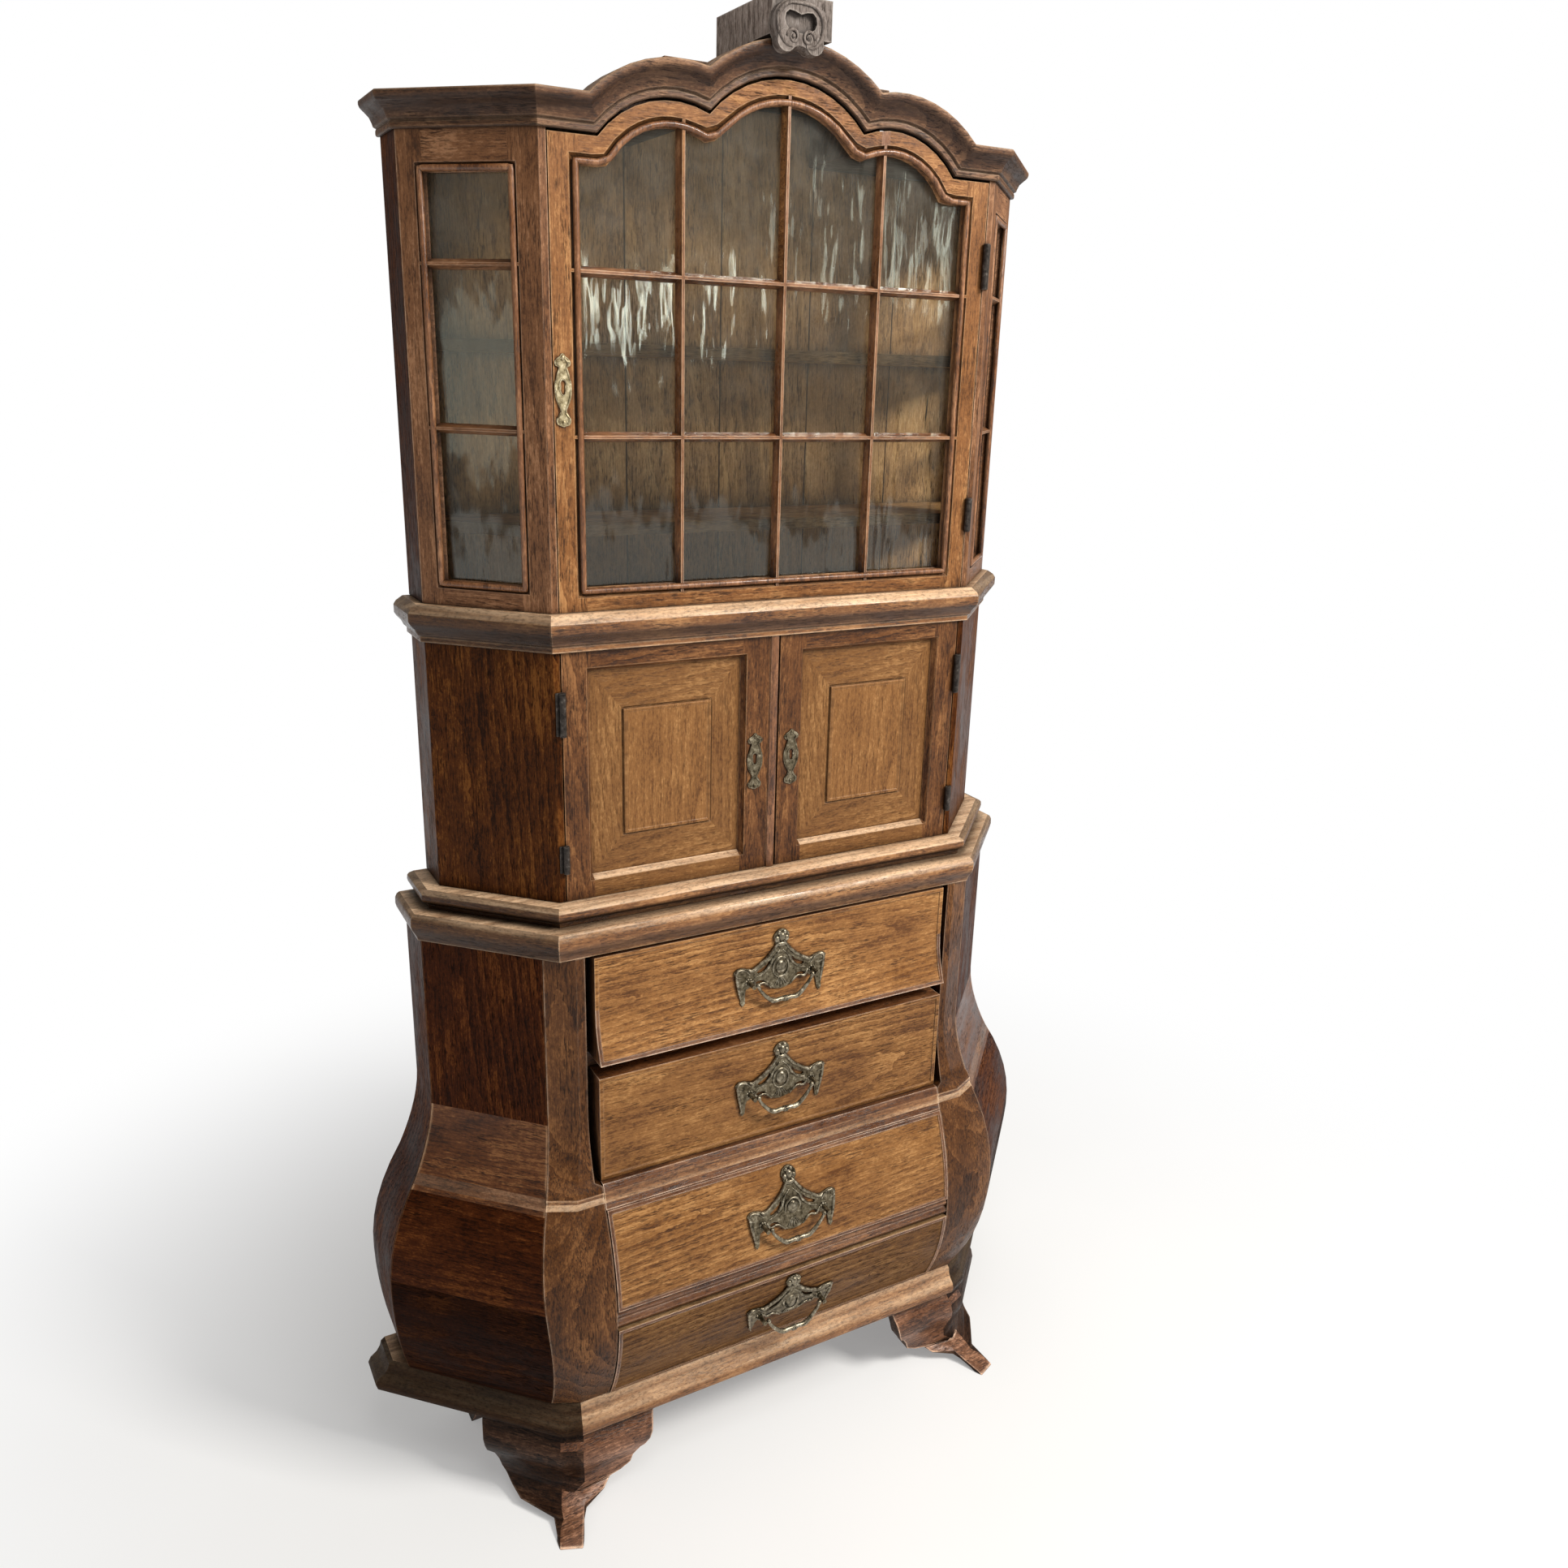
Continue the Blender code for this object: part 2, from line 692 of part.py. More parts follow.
def side_offset(z):
    if z >= CREASE_Z:
        return above_crease(z, CANT_STRAIGHT, CANT_CREASE)
    return belly(z, CANT_CREASE, CANT_WIDEST, CANT_WIDEST_Z, SIDE_AT_BASE)


def crease_swell(z):
    """The rounded bead that runs round the posts at the crease."""
    reach = abs(z - CREASE_Z - CREASE_BEAD_HALF) / CREASE_BEAD_HALF
    return CREASE_BEAD * math.sqrt(1 - reach**2) if reach < 1 else 0.0


def between(low, high, count):
    return [low + (high - low) * i / count for i in range(count + 1)]


def chest_heights():
    """Heights of the rings that every chest side shares, from the base up."""
    low = BASE_TOP + GAP
    high = CHEST_TOP_UNDER - GAP
    lower = between(low, CREASE_Z, LOWER_RINGS)
    bead = between(CREASE_Z, CREASE_Z + 2 * CREASE_BEAD_HALF, BEAD_RINGS)[1:]
    upper = between(bead[-1], STRAIGHT_Z, UPPER_RINGS)[1:]
    return lower + bead + upper + [high]


def facet_ends(front, cant, front_cut, cant_cut):
    """The two ends of the left corner's facet: on the front and on the cant."""
    corner_x = FRONT_HALF + ROOT2 * cant - front
    return (-corner_x + front_cut, -front), (-corner_x - cant_cut / ROOT2, -front + cant_cut / ROOT2)


def post_facet(z):
    """The chest's corner facet at height z, which turns as the front bulges more than the cant."""
    swell = crease_swell(z)
    bulge = (front_offset(z) - FRONT_STRAIGHT) / (FRONT_WIDEST - FRONT_STRAIGHT)
    front_cut = FACET_FRONT_STRAIGHT + (FACET_FRONT_WIDEST - FACET_FRONT_STRAIGHT) * bulge
    cant_cut = FACET_CANT_STRAIGHT + (FACET_CANT_WIDEST - FACET_CANT_STRAIGHT) * bulge
    return facet_ends(front_offset(z) + swell, cant_offset(z) + swell, front_cut, cant_cut)


def inward(point, distance):
    """Move a point of the left cant squarely towards the inside."""
    return point[0] + distance / ROOT2, point[1] + distance / ROOT2


def along_cant(point, distance):
    return point[0] - distance / ROOT2, point[1] + distance / ROOT2


def turned(plan, side):
    """The left plan, or its mirror image for the right side."""
    return plan if side == "left" else [(-x, y) for x, y in plan]


def corner_post(side):
    rings = []
    for z in chest_heights():
        front_end, cant_end = post_facet(z)
        inner = inward(cant_end, cant_offset(z) + crease_swell(z) - CHEST_INNER + GAP)
        back_x = -(FRONT_HALF + ROOT2 * (CHEST_INNER - GAP)) - POST_BACK
        edge_x = -POST_EDGE_UPPER if z > DRAWER_LOWS[1] else -POST_EDGE_LOWER
        plan = [(edge_x, front_end[1]), front_end, cant_end, inner, (back_x, POST_BACK), (edge_x, POST_BACK)]
        rings.append([(x, y, z) for x, y in turned(plan, side)])
    shape = bmesh.new()
    loft(shape, rings)
    return new_object("corner_post_" + side, shape, WOOD)


def chest_cant(side):
    rings = []
    inner_x = SIDE_X + CHEST_INNER
    inner_corner = (-inner_x, inner_x - FRONT_HALF - ROOT2 * CHEST_INNER)
    for z in chest_heights():
        cant = cant_offset(z)
        near = along_cant(inward(post_facet(z)[1], crease_swell(z)), GAP)
        side_x = SIDE_X + side_offset(z)
        outer_corner = (-side_x, side_x - FRONT_HALF - ROOT2 * cant)
        plan = [near, outer_corner, inner_corner, inward(near, cant - CHEST_INNER)]
        rings.append([(x, y, z) for x, y in turned(plan, side)])
    shape = bmesh.new()
    loft(shape, rings)
    return new_object("chest_cant_" + side, shape, WOOD)


def chest_return(side):
    rings = []
    inner_x = SIDE_X + CHEST_INNER
    inner_y = inner_x - FRONT_HALF - ROOT2 * CHEST_INNER + STEP
    for z in chest_heights():
        side_x = SIDE_X + side_offset(z)
        outer_y = side_x - FRONT_HALF - ROOT2 * cant_offset(z) + STEP
        plan = [(-side_x, CASE_DEPTH), (-side_x, outer_y), (-inner_x, inner_y), (-inner_x, CASE_DEPTH)]
        rings.append([(x, y, z) for x, y in turned(plan, side)])
    shape = bmesh.new()
    loft(shape, rings)
    return new_object("chest_return_" + side, shape, WOOD)


def guide_strips(name, piece, seat_z):
    """Two strips on a board that keep the drawer's box straight."""
    inner = DRAWER_HALF - BOX_INSET + GUIDE_PLAY
    shape = bmesh.new()
    for low_x, high_x in ((inner, inner + GUIDE_WIDE), (-inner - GUIDE_WIDE, -inner)):
        low = (low_x, POST_BACK + GUIDE_PLAY, seat_z - SINK)
        high = (high_x, BOX_BACK, seat_z + GUIDE_TALL)
        box(shape, low, high)
    combine(piece, new_tool(name + "_guides", shape), "UNION")


def rail_plan(edge_x, front):
    """A dust board's plan: narrow between the posts, full width behind them."""
    offset = CHEST_INNER - GAP
    shoulder_y = POST_BACK + GAP
    shoulder_x = FRONT_HALF + ROOT2 * offset + shoulder_y
    side_x = SIDE_X + offset
    back_y = CASE_DEPTH - CHEST_BACK_BOARD - GAP
    left = [(-side_x, back_y), (-side_x, side_x - FRONT_HALF - ROOT2 * offset), (-shoulder_x, shoulder_y)]
    left += [(-edge_x + GAP, shoulder_y), (-edge_x + GAP, -front)]
    return both_sides(left)


def rail(name, low, high, edge_x, front_at):
    """A dust board whose front edge follows front_at over its height."""
    rings = []
    for z in between(low, high, RAIL_RINGS):
        rings.append([(x, y, z) for x, y in rail_plan(edge_x, front_at(z))])
    shape = bmesh.new()
    loft(shape, rings)
    piece = new_object(name, shape, WOOD)
    guide_strips(name, piece, high)
    return piece


def rails():
    upper_low = DRAWER_HIGHS[1] + GAP
    rail("rail_upper", upper_low, DRAWER_LOWS[0] - GAP, POST_EDGE_UPPER, lambda z: RAIL_UPPER_SETBACK)

    def crease_front(z):
        return front_offset(z) + crease_swell(z)

    crease_low = DRAWER_HIGHS[2] + GAP
    rail("rail_crease", crease_low, DRAWER_LOWS[1] - GAP, POST_EDGE_LOWER, crease_front)
    low = DRAWER_HIGHS[3] + GAP
    high = DRAWER_LOWS[2] - GAP

    def double_bead(z):
        wave = abs(math.sin(2 * math.pi * (z - low) / (high - low)))
        return front_offset(z) - RAIL_LOWER_SETBACK - RAIL_BEAD * (1 - wave)

    rail("rail_lower", low, high, POST_EDGE_LOWER, double_bead)


def chest_base():
    shape = bmesh.new()
    moulded_board(shape, BASE_UNDER, BASE_TOP, PLINTH_SHARES, PLINTH_FRONT, PLINTH_SIDE, PLINTH_CUT)
    piece = new_object("chest_base", shape, WOOD)
    guide_strips("chest_base", piece, BASE_TOP)


def chest_top():
    shape = bmesh.new()
    moulded_board(shape, CHEST_TOP_UNDER, WAIST_JOINT, WAIST_LOWER_SHARES, WAIST_LOWER_REACH)
    new_object("chest_top", shape, WOOD)


def chest_back():
    inner_x = SIDE_X + CHEST_INNER - GAP
    shape = bmesh.new()
    low = (-inner_x, CASE_DEPTH - CHEST_BACK_BOARD, BASE_TOP + GAP)
    box(shape, low, (inner_x, CASE_DEPTH, CHEST_TOP_UNDER - GAP))
    new_object("chest_back", shape, WOOD_DARK)


def square_corner(offset):
    """Where the front and the left cant meet, both moved out by the offset."""
    return -(FRONT_HALF + ROOT2 * offset - offset), -offset


def front_foot(side):
    """A bracket foot on the canted corner: two scrolled wings and an out-turned toe."""
    tall = BASE_UNDER - GAP
    rings = []
    for height_share, wing_share, leg_share, front_share, cant_share in FOOT_SHARES:
        z = tall * height_share
        wing = FOOT_TOE_REACH * wing_share
        leg = FOOT_TOE_REACH * leg_share
        thick = LEG_THICK + (FOOT_BRACKET_THICK - LEG_THICK) * height_share
        front_end, cant_end = facet_ends(leg, leg, TOE_CUT, TOE_CUT)
        leg_x = front_end[0] + LEG_HALF
        tip_x = leg_x + (-FOOT_FRONT_REACH - leg_x) * front_share
        wing_corner = square_corner(wing)
        cant_least = TOE_CUT + LEG_HALF
        cant_far = cant_least + (FOOT_CANT_REACH - cant_least) * cant_share
        cant_tip = along_cant(wing_corner, cant_far)
        inner_corner = square_corner(wing - thick)
        plan = [(tip_x, -wing), front_end, cant_end, cant_tip, inward(cant_tip, thick)]
        plan += [inner_corner, (tip_x, -wing + thick)]
        rings.append([(x, y, z) for x, y in turned(plan, side)])
    shape = bmesh.new()
    loft(shape, rings)
    new_object("foot_front_" + side, shape, WOOD_DARK, smooth=True)


def rear_foot(side):
    """A plain shaped stump under the back corner."""
    tall = BASE_UNDER - GAP
    rings = []
    for height_share, taper_share, reach_share in REAR_FOOT_SHARES:
        inner_x = REAR_FOOT_INNER + (REAR_FOOT_OUTER - REAR_FOOT_INNER) * taper_share / 2
        outer_x = REAR_FOOT_INNER + (REAR_FOOT_OUTER - REAR_FOOT_INNER) * reach_share
        front_y = REAR_FOOT_FRONT + (REAR_FOOT_BACK - REAR_FOOT_FRONT) * taper_share / 2
        plan = [(-outer_x, REAR_FOOT_BACK), (-outer_x, front_y)]
        plan += [(-inner_x, front_y), (-inner_x, REAR_FOOT_BACK)]
        rings.append([(x, y, tall * height_share) for x, y in turned(plan, side)])
    shape = bmesh.new()
    loft(shape, rings)
    new_object("foot_rear_" + side, shape, WOOD_DARK)


def drawer_surface(index, z):
    """Offset of a drawer's field from the front plane at height z."""
    if index == 0:
        flare = max(0.0, (TOP_DRAWER_FLARE_Z - z) / (TOP_DRAWER_FLARE_Z - DRAWER_LOWS[0]))
        return TOP_DRAWER_REACH + TOP_DRAWER_FLARE * flare**2
    if index == 1:
        return SECOND_DRAWER_REACH
    return front_offset(z)


def drawer_front_rings(index):
    """Rings of a drawer front with a bead raised round its edge."""
    low = DRAWER_LOWS[index]
    high = DRAWER_HIGHS[index]
    half = DRAWER_HALF
    bead = DRAWER_BEAD_WIDE
    slope = DRAWER_BEAD_PROUD / 2
    back_y = UPPER_FACE_BACK if index < 2 else LOWER_FACE_BACK
    field = between(low + bead + slope, high - bead - slope, DRAWER_RINGS)
    heights = [(low, True), (low + bead, True)] + [(z, False) for z in field]
    heights += [(high - bead, True), (high, True)]
    rings = []
    for z, on_bead in heights:
        reach = drawer_surface(index, z)
        proud = reach + DRAWER_BEAD_PROUD
        middle = proud if on_bead else reach
        left = [(-half, back_y), (-half, -proud), (-half + bead, -proud), (-half + bead + slope, -middle)]
        rings.append([(x, y, z) for x, y in both_sides(left)])
    return rings


def drawer(index):
    name = f"drawer_{index + 1}"
    low = DRAWER_LOWS[index]
    high = DRAWER_HIGHS[index]
    back_y = UPPER_FACE_BACK if index < 2 else LOWER_FACE_BACK
    origin = (0, back_y, low)
    shape = bmesh.new()
    loft(shape, drawer_front_rings(index))
    piece = new_object(name, shape, WOOD_FRONT, origin)
    half = DRAWER_HALF - BOX_INSET
    top = high - BOX_HEADROOM
    solid = bmesh.new()
    box(solid, (-half, back_y - SINK, low), (half, BOX_BACK, top))
    combine(piece, new_tool(name + "_box", solid), "UNION")
    hollow = bmesh.new()
    inner = half - BOX_SIDE
    box(hollow, (-inner, back_y, low + BOX_FLOOR), (inner, BOX_BACK - BOX_SIDE, top + OVERRUN))
    combine(piece, new_tool(name + "_hollow", hollow), "DIFFERENCE")


def smooth_loop(points, steps):
    """A closed curve through the points, each span divided into equal steps."""
    loop = []
    count = len(points)
    for i in range(count):
        a, b, c, d = (points[(i + k - 1) % count] for k in range(4))
        for step in range(steps):
            t = step / steps
            before, after = -t + 2 * t**2 - t**3, t**3 - t**2
            weights = (before, 2 - 5 * t**2 + 3 * t**3, t + 4 * t**2 - 3 * t**3, after)
            mixed = [[w * p[k] for w, p in zip(weights, (a, b, c, d))] for k in range(2)]
            loop.append((sum(mixed[0]) / 2, sum(mixed[1]) / 2))
    return loop


def flat_outline(name, outlines, thick):
    """A plate cut from flat closed outlines in X and Z, as a bmesh whose face is at y = 0."""
    curve = bpy.data.curves.new(name, "CURVE")
    curve.dimensions = "2D"
    curve.fill_mode = "BOTH"
    curve.extrude = thick / 2
    curve.resolution_u = CURVE_STEPS
    for points in outlines:
        spline = curve.splines.new("BEZIER")
        spline.bezier_points.add(len(points) - 1)
        for knot, (x, z) in zip(spline.bezier_points, points):
            knot.co = (x, z, 0)
            knot.handle_left_type = knot.handle_right_type = "AUTO"
        spline.use_cyclic_u = True
    outline = bpy.data.objects.new(name, curve)
    TOOLS.objects.link(outline)
    seen = outline.evaluated_get(bpy.context.evaluated_depsgraph_get())
    mesh = bpy.data.meshes.new_from_object(seen)
    shape = bmesh.new()
    shape.from_mesh(mesh)
    bpy.data.objects.remove(outline, do_unlink=True)
    bmesh.ops.remove_doubles(shape, verts=shape.verts, dist=GAP / 10)
    bmesh.ops.rotate(shape, verts=shape.verts, matrix=Matrix.Rotation(math.pi / 2, 3, "X"))
    bmesh.ops.translate(shape, verts=shape.verts, vec=(0, thick / 2, 0))
    return shape


def handle_plate(index):
    """A pierced backplate bent to its drawer front, with the two posts that hold the bail."""
    top = PLATE_TOPS[index]
    tall = PLATE_TALLS[index]
    low = top - tall
    half = [(x * PLATE_HALF, low + z * tall) for x, z in PLATE_HALF_SHARES]
    outline = half + [(-x, z) for x, z in reversed(half[1:])]
    slot = [(x * PLATE_HALF, low + z * tall) for x, z in PLATE_SLOT_SHARES]
    name = f"handle_plate_{index + 1}"
    shape = flat_outline(name, [outline, slot, [(-x, z) for x, z in slot]], PLATE_THICK)
    for z in between(low, top, PLATE_SLICES)[1:-1]:
        everything = shape.verts[:] + shape.edges[:] + shape.faces[:]
        bmesh.ops.bisect_plane(shape, geom=everything, plane_co=(0, 0, z), plane_no=(0, 0, 1))
    for vert in shape.verts:
        vert.co.y -= drawer_surface(index, vert.co.z) + PLATE_THICK + STEP
    pivot_y, pivot_z = bail_pivot(index)
    piece = new_object(name, shape, METAL_BRONZE)
    posts = bmesh.new()
    start_y = -drawer_surface(index, pivot_z) - STEP - PLATE_THICK / 2
    end_y = pivot_y - POST_RADIUS
    for x in (-POST_X, POST_X):
        rod(posts, POST_RADIUS, (x, (start_y + end_y) / 2, pivot_z), start_y - end_y, "Y", POST_SIDES)
    combine(piece, new_tool(name + "_posts", posts), "UNION")


def bail_pivot(index):
    z = PLATE_TOPS[index] - PLATE_TALLS[index] * (1 - POST_HEIGHT_SHARE)
    return -drawer_surface(index, z) - PIVOT_OUT, z


def bail(index):
    """The swinging handle, hanging from its pivot: thicker in the middle, thin at the ends."""
    name = f"bail_{index + 1}"
    pivot_y, pivot_z = bail_pivot(index)
    reach = POST_X - POST_RADIUS - GAP
    curve = bpy.data.curves.new(name, "CURVE")
    curve.dimensions = "3D"
    curve.bevel_depth = BAIL_RADIUS
    curve.bevel_resolution = CURVE_STEPS
    curve.use_fill_caps = True
    spline = curve.splines.new("POLY")
    spline.points.add(BAIL_POINTS - 1)
    spline.points[0].co = (-reach, 0, 0, 1)
    spline.points[-1].co = (reach, 0, 0, 1)
    turns = between(-1.0, 1.0, BAIL_POINTS - 3)
    for turn, knot in zip(turns, spline.points[1:-1]):
        drop = BAIL_DROP * (1 - abs(turn) ** BAIL_BOW_SHARE)
        knot.co = ((reach - BAIL_STUB) * turn, 0, -drop, 1)
        knot.radius = 1 + BAIL_SWELL_SHARE * (1 - turn**2)
    rope = bpy.data.objects.new(name + "_curve", curve)
    TOOLS.objects.link(rope)
    mesh = bpy.data.meshes.new_from_object(rope.evaluated_get(bpy.context.evaluated_depsgraph_get()))
    bpy.data.objects.remove(rope, do_unlink=True)
    shape = bmesh.new()
    shape.from_mesh(mesh)
    bmesh.ops.remove_doubles(shape, verts=shape.verts, dist=GAP / 10)
    bmesh.ops.translate(shape, verts=shape.verts, vec=(0, pivot_y, pivot_z))
    new_object(name, shape, METAL_BRONZE, (0, pivot_y, pivot_z), smooth=True)


def upper_base():
    shape = bmesh.new()
    low = WAIST_JOINT + GAP
    moulded_board(shape, low, CUPBOARD_FLOOR, WAIST_UPPER_SHARES, WAIST_UPPER_REACH)
    new_object("upper_base", shape, WOOD)


def mid_board():
    shape = bmesh.new()
    moulded_board(shape, MID_UNDER, MID_TOP, MID_SHARES, MID_REACH, notch=True)
    new_object("mid_board", shape, WOOD)


def cant_inner_y(x):
    """Where the upper case's inner cant face lies at a given distance from the middle."""
    return x - FRONT_HALF + ROOT2 * UPPER_BOARD


def cupboard_side(side):
    """The low cupboard's canted panel and its short return, glued up as one."""
    inner_x = SIDE_X - UPPER_BOARD
    plan = [(-FRONT_HALF, 0), (-POST_EDGE_X, 0), (-POST_EDGE_X, cant_inner_y(POST_EDGE_X))]
    plan += [(-inner_x, cant_inner_y(inner_x)), (-inner_x, CASE_DEPTH)]
    plan += [(-SIDE_X, CASE_DEPTH), (-SIDE_X, CANT_RUN)]
    shape = bmesh.new()
    upright(shape, turned(plan, side), CUPBOARD_FLOOR + GAP, MID_UNDER - GAP)
    new_object("cupboard_side_" + side, shape, WOOD)


def window_point(along, depth, z, side):
    """A point given along the cant, into it and up, in the case frame."""
    x = FRONT_HALF + (along - depth) / ROOT2
    y = (along + depth) / ROOT2
    return (-x if side == "left" else x, y, z)


def pane_ring(low, high, flares, share, top_line, place):
    """One outline of a pane: its straight sides and its straight or arched head."""
    left, right, under, over = (value * share for value in flares)
    low_x, low_z = low[0] - left, low[1] - under
    high_x = high[0] + right
    if top_line is None:
        head = [(high_x, high[1] + over), (low_x, high[1] + over)]
    else:
        head = [(x, top_line(x, over)) for x in between(high_x, low_x, PANE_STEPS)]
    return [place(x, z) for x, z in [(low_x, low_z), (high_x, low_z)] + head]


def cut_pane(shape, low, high, flares, place, top_line=None):
    """A pane's cutter, wider at the front face so that it leaves a moulded edge."""
    rings = [pane_ring(low, high, flares, 1.0, top_line, lambda x, z: place(x, -OVERRUN, z))]
    for depth_share, share in FLARE_SHARES:
        depth = DOOR_THICK * depth_share
        rings.append(pane_ring(low, high, flares, share, top_line, lambda x, z, d=depth: place(x, d, z)))
    end = UPPER_BOARD + OVERRUN
    rings.append(pane_ring(low, high, flares, 0.0, top_line, lambda x, z: place(x, end, z)))
    loft(shape, rings)


def window_frame(side):
    """The canted side of the display case, with three panes cut through it."""
    inner_x = SIDE_X - UPPER_BOARD
    plan = [(-FRONT_HALF, 0), (-POST_EDGE_X, 0), (-POST_EDGE_X, cant_inner_y(POST_EDGE_X))]
    plan += [(-inner_x, cant_inner_y(inner_x)), (-SIDE_X, CANT_RUN)]
    shape = bmesh.new()
    upright(shape, turned(plan, side), MID_TOP + GAP, ROOF_SIDE_UNDER - GAP)
    piece = new_object("window_frame_" + side, shape, WOOD)
    levels = [WINDOW_LOW, *WINDOW_MUNTIN_ZS, WINDOW_HIGH]
    cutters = bmesh.new()
    for row, (low, high) in enumerate(zip(levels, levels[1:])):
        under = WINDOW_MOULDING if row == 0 else MUNTIN_FLARE
        over = WINDOW_MOULDING if row == len(levels) - 2 else MUNTIN_FLARE
        low_z = low if row == 0 else low + MUNTIN / 2
        high_z = high if row == len(levels) - 2 else high - MUNTIN / 2
        flares = (WINDOW_MOULDING, WINDOW_MOULDING, under, over)
        corners = (WINDOW_NEAR, low_z), (WINDOW_FAR, high_z)
        cut_pane(cutters, *corners, flares, lambda s, d, z: window_point(s, d, z, side))
    combine(piece, new_tool(f"window_{side}_panes", cutters), "DIFFERENCE")
    rebate = bmesh.new()
    window_slab(rebate, side, REBATE, MUNTIN_DEPTH, UPPER_BOARD + OVERRUN)
    combine(piece, new_tool(f"window_{side}_rebate", rebate), "DIFFERENCE")


def window_slab(shape, side, grow, front_depth, back_depth):
    corners = [(WINDOW_NEAR - grow, WINDOW_LOW - grow), (WINDOW_FAR + grow, WINDOW_LOW - grow)]
    corners += [(WINDOW_FAR + grow, WINDOW_HIGH + grow), (WINDOW_NEAR - grow, WINDOW_HIGH + grow)]
    depths = (front_depth, back_depth)
    loft(shape, [[window_point(along, depth, z, side) for along, z in corners] for depth in depths])


def side_glass(side):
    shape = bmesh.new()
    front = MUNTIN_DEPTH + GAP
    window_slab(shape, side, REBATE - GAP, front, front + GLASS_THICK)
    new_object("side_glass_" + side, shape, PANE_GLASS)


def upper_return(side):
    inner_x = SIDE_X - UPPER_BOARD
    plan = [(-SIDE_X, CASE_DEPTH), (-SIDE_X, CANT_RUN + STEP)]
    plan += [(-inner_x, cant_inner_y(inner_x) + STEP), (-inner_x, CASE_DEPTH)]
    shape = bmesh.new()
    upright(shape, turned(plan, side), MID_TOP + GAP, ROOF_SIDE_UNDER - GAP)
    new_object("upper_return_" + side, shape, WOOD)


def across(shape, outline, front_y, back_y):
    """An outline in X and Z carried straight back."""
    loft(shape, [[(x, y, z) for x, z in outline] for y in (front_y, back_y)])


def upper_back():
    half = SIDE_X - UPPER_BOARD - GAP
    riser = ROOF_RISER_X - ROOF_BOARD - GAP
    side_top = ROOF_SIDE_UNDER - GAP
    right = [(half, CUPBOARD_FLOOR + GAP), (half, side_top), (riser, side_top)]
    right += [(riser, ROOF_TOP_Z - ROOF_BOARD - GAP)]
    shape = bmesh.new()
    across(shape, right + mirrored(right), BACK_INNER_Y, CASE_DEPTH)
    new_object("upper_back", shape, WOOD_DARK)


def shelf(name, top):
    inner = -UPPER_BOARD - GAP
    plan = case_plan(-SHELF_FRONT, inner, inner, BACK_INNER_Y - GAP)
    shape = bmesh.new()
    upright(shape, plan, top - SHELF_THICK, top)
    new_object(name, shape, WOOD_DARK)


def roof_board():
    """Thin boards: a raised flat middle, two risers and the low sides."""
    thick = ROOF_BOARD
    wide = ROOF_RISER_X
    over = ROOF_RISER_X + ROOF_OVERHANG
    right = [(SIDE_X, ROOF_SIDE_UNDER), (SIDE_X, ROOF_SIDE_Z), (wide, ROOF_SIDE_Z)]
    right += [(wide, ROOF_TOP_Z - thick), (over, ROOF_TOP_Z - thick), (over, ROOF_TOP_Z)]
    under = [(-wide + thick, ROOF_SIDE_UNDER), (-wide + thick, ROOF_TOP_Z - thick)]
    outline = right + mirrored(right) + under + mirrored(under)
    shape = bmesh.new()
    across(shape, outline, FRIEZE_THICK + GAP, CASE_DEPTH)
    piece = new_object("roof_board", shape, WOOD_DARK)
    keep = bmesh.new()
    plan = case_plan(-FRIEZE_THICK, 0.0, 0.0, CASE_DEPTH + OVERRUN)
    upright(keep, plan, ROOF_SIDE_UNDER - OVERRUN, ROOF_TOP_Z + OVERRUN)
    combine(piece, new_tool("roof_plan", keep), "INTERSECT")


def arc(centre_x, centre_z, radius, start_x, end_x, steps):
    """Points on the upper half of a circle from one x to another, evenly in angle."""
    first = math.acos((start_x - centre_x) / radius)
    last = math.acos((end_x - centre_x) / radius)
    angles = between(first, last, steps)
    return [(centre_x + radius * math.cos(a), centre_z + radius * math.sin(a)) for a in angles]


def lobe_meeting(grow):
    """Distance from the middle at which the centre lobe meets a side lobe."""
    side = SIDE_LOBE_RADIUS + grow
    centre = CENTRE_LOBE_RADIUS + grow
    rise = CENTRE_LOBE_Z - SIDE_LOBE_Z
    apart = math.hypot(SIDE_LOBE_X, rise)
    along = (centre**2 - side**2 + apart**2) / (2 * apart)
    up = math.sqrt(centre**2 - along**2)
    return (along * SIDE_LOBE_X + up * rise) / apart


def arch_points(grow):
    """The three-lobed line from its left end to its right end, grown from the cornice's underside."""
    straight_z = CORNICE_UNDER + grow
    side = SIDE_LOBE_RADIUS + grow
    end_x = SIDE_LOBE_X + math.sqrt(side**2 - (straight_z - SIDE_LOBE_Z) ** 2)
    valley_x = lobe_meeting(grow)
    left = arc(-SIDE_LOBE_X, SIDE_LOBE_Z, side, -end_x, -valley_x, SIDE_LOBE_STEPS)
    middle = arc(0, CENTRE_LOBE_Z, CENTRE_LOBE_RADIUS + grow, -valley_x, valley_x, CENTRE_LOBE_STEPS)
    return left + middle[1:-1] + mirrored(left)


def frieze():
    half = POST_EDGE_X - GAP
    low = CORNICE_UNDER
    high = CORNICE_UNDER + CORNICE_HEIGHT
    outline = [(-half, low)] + arch_points(0.0) + [(half, low), (half, high)]
    outline += list(reversed(arch_points(CORNICE_HEIGHT))) + [(-half, high)]
    shape = bmesh.new()
    across(shape, outline, 0.0, FRIEZE_THICK)
    new_object("frieze", shape, WOOD)


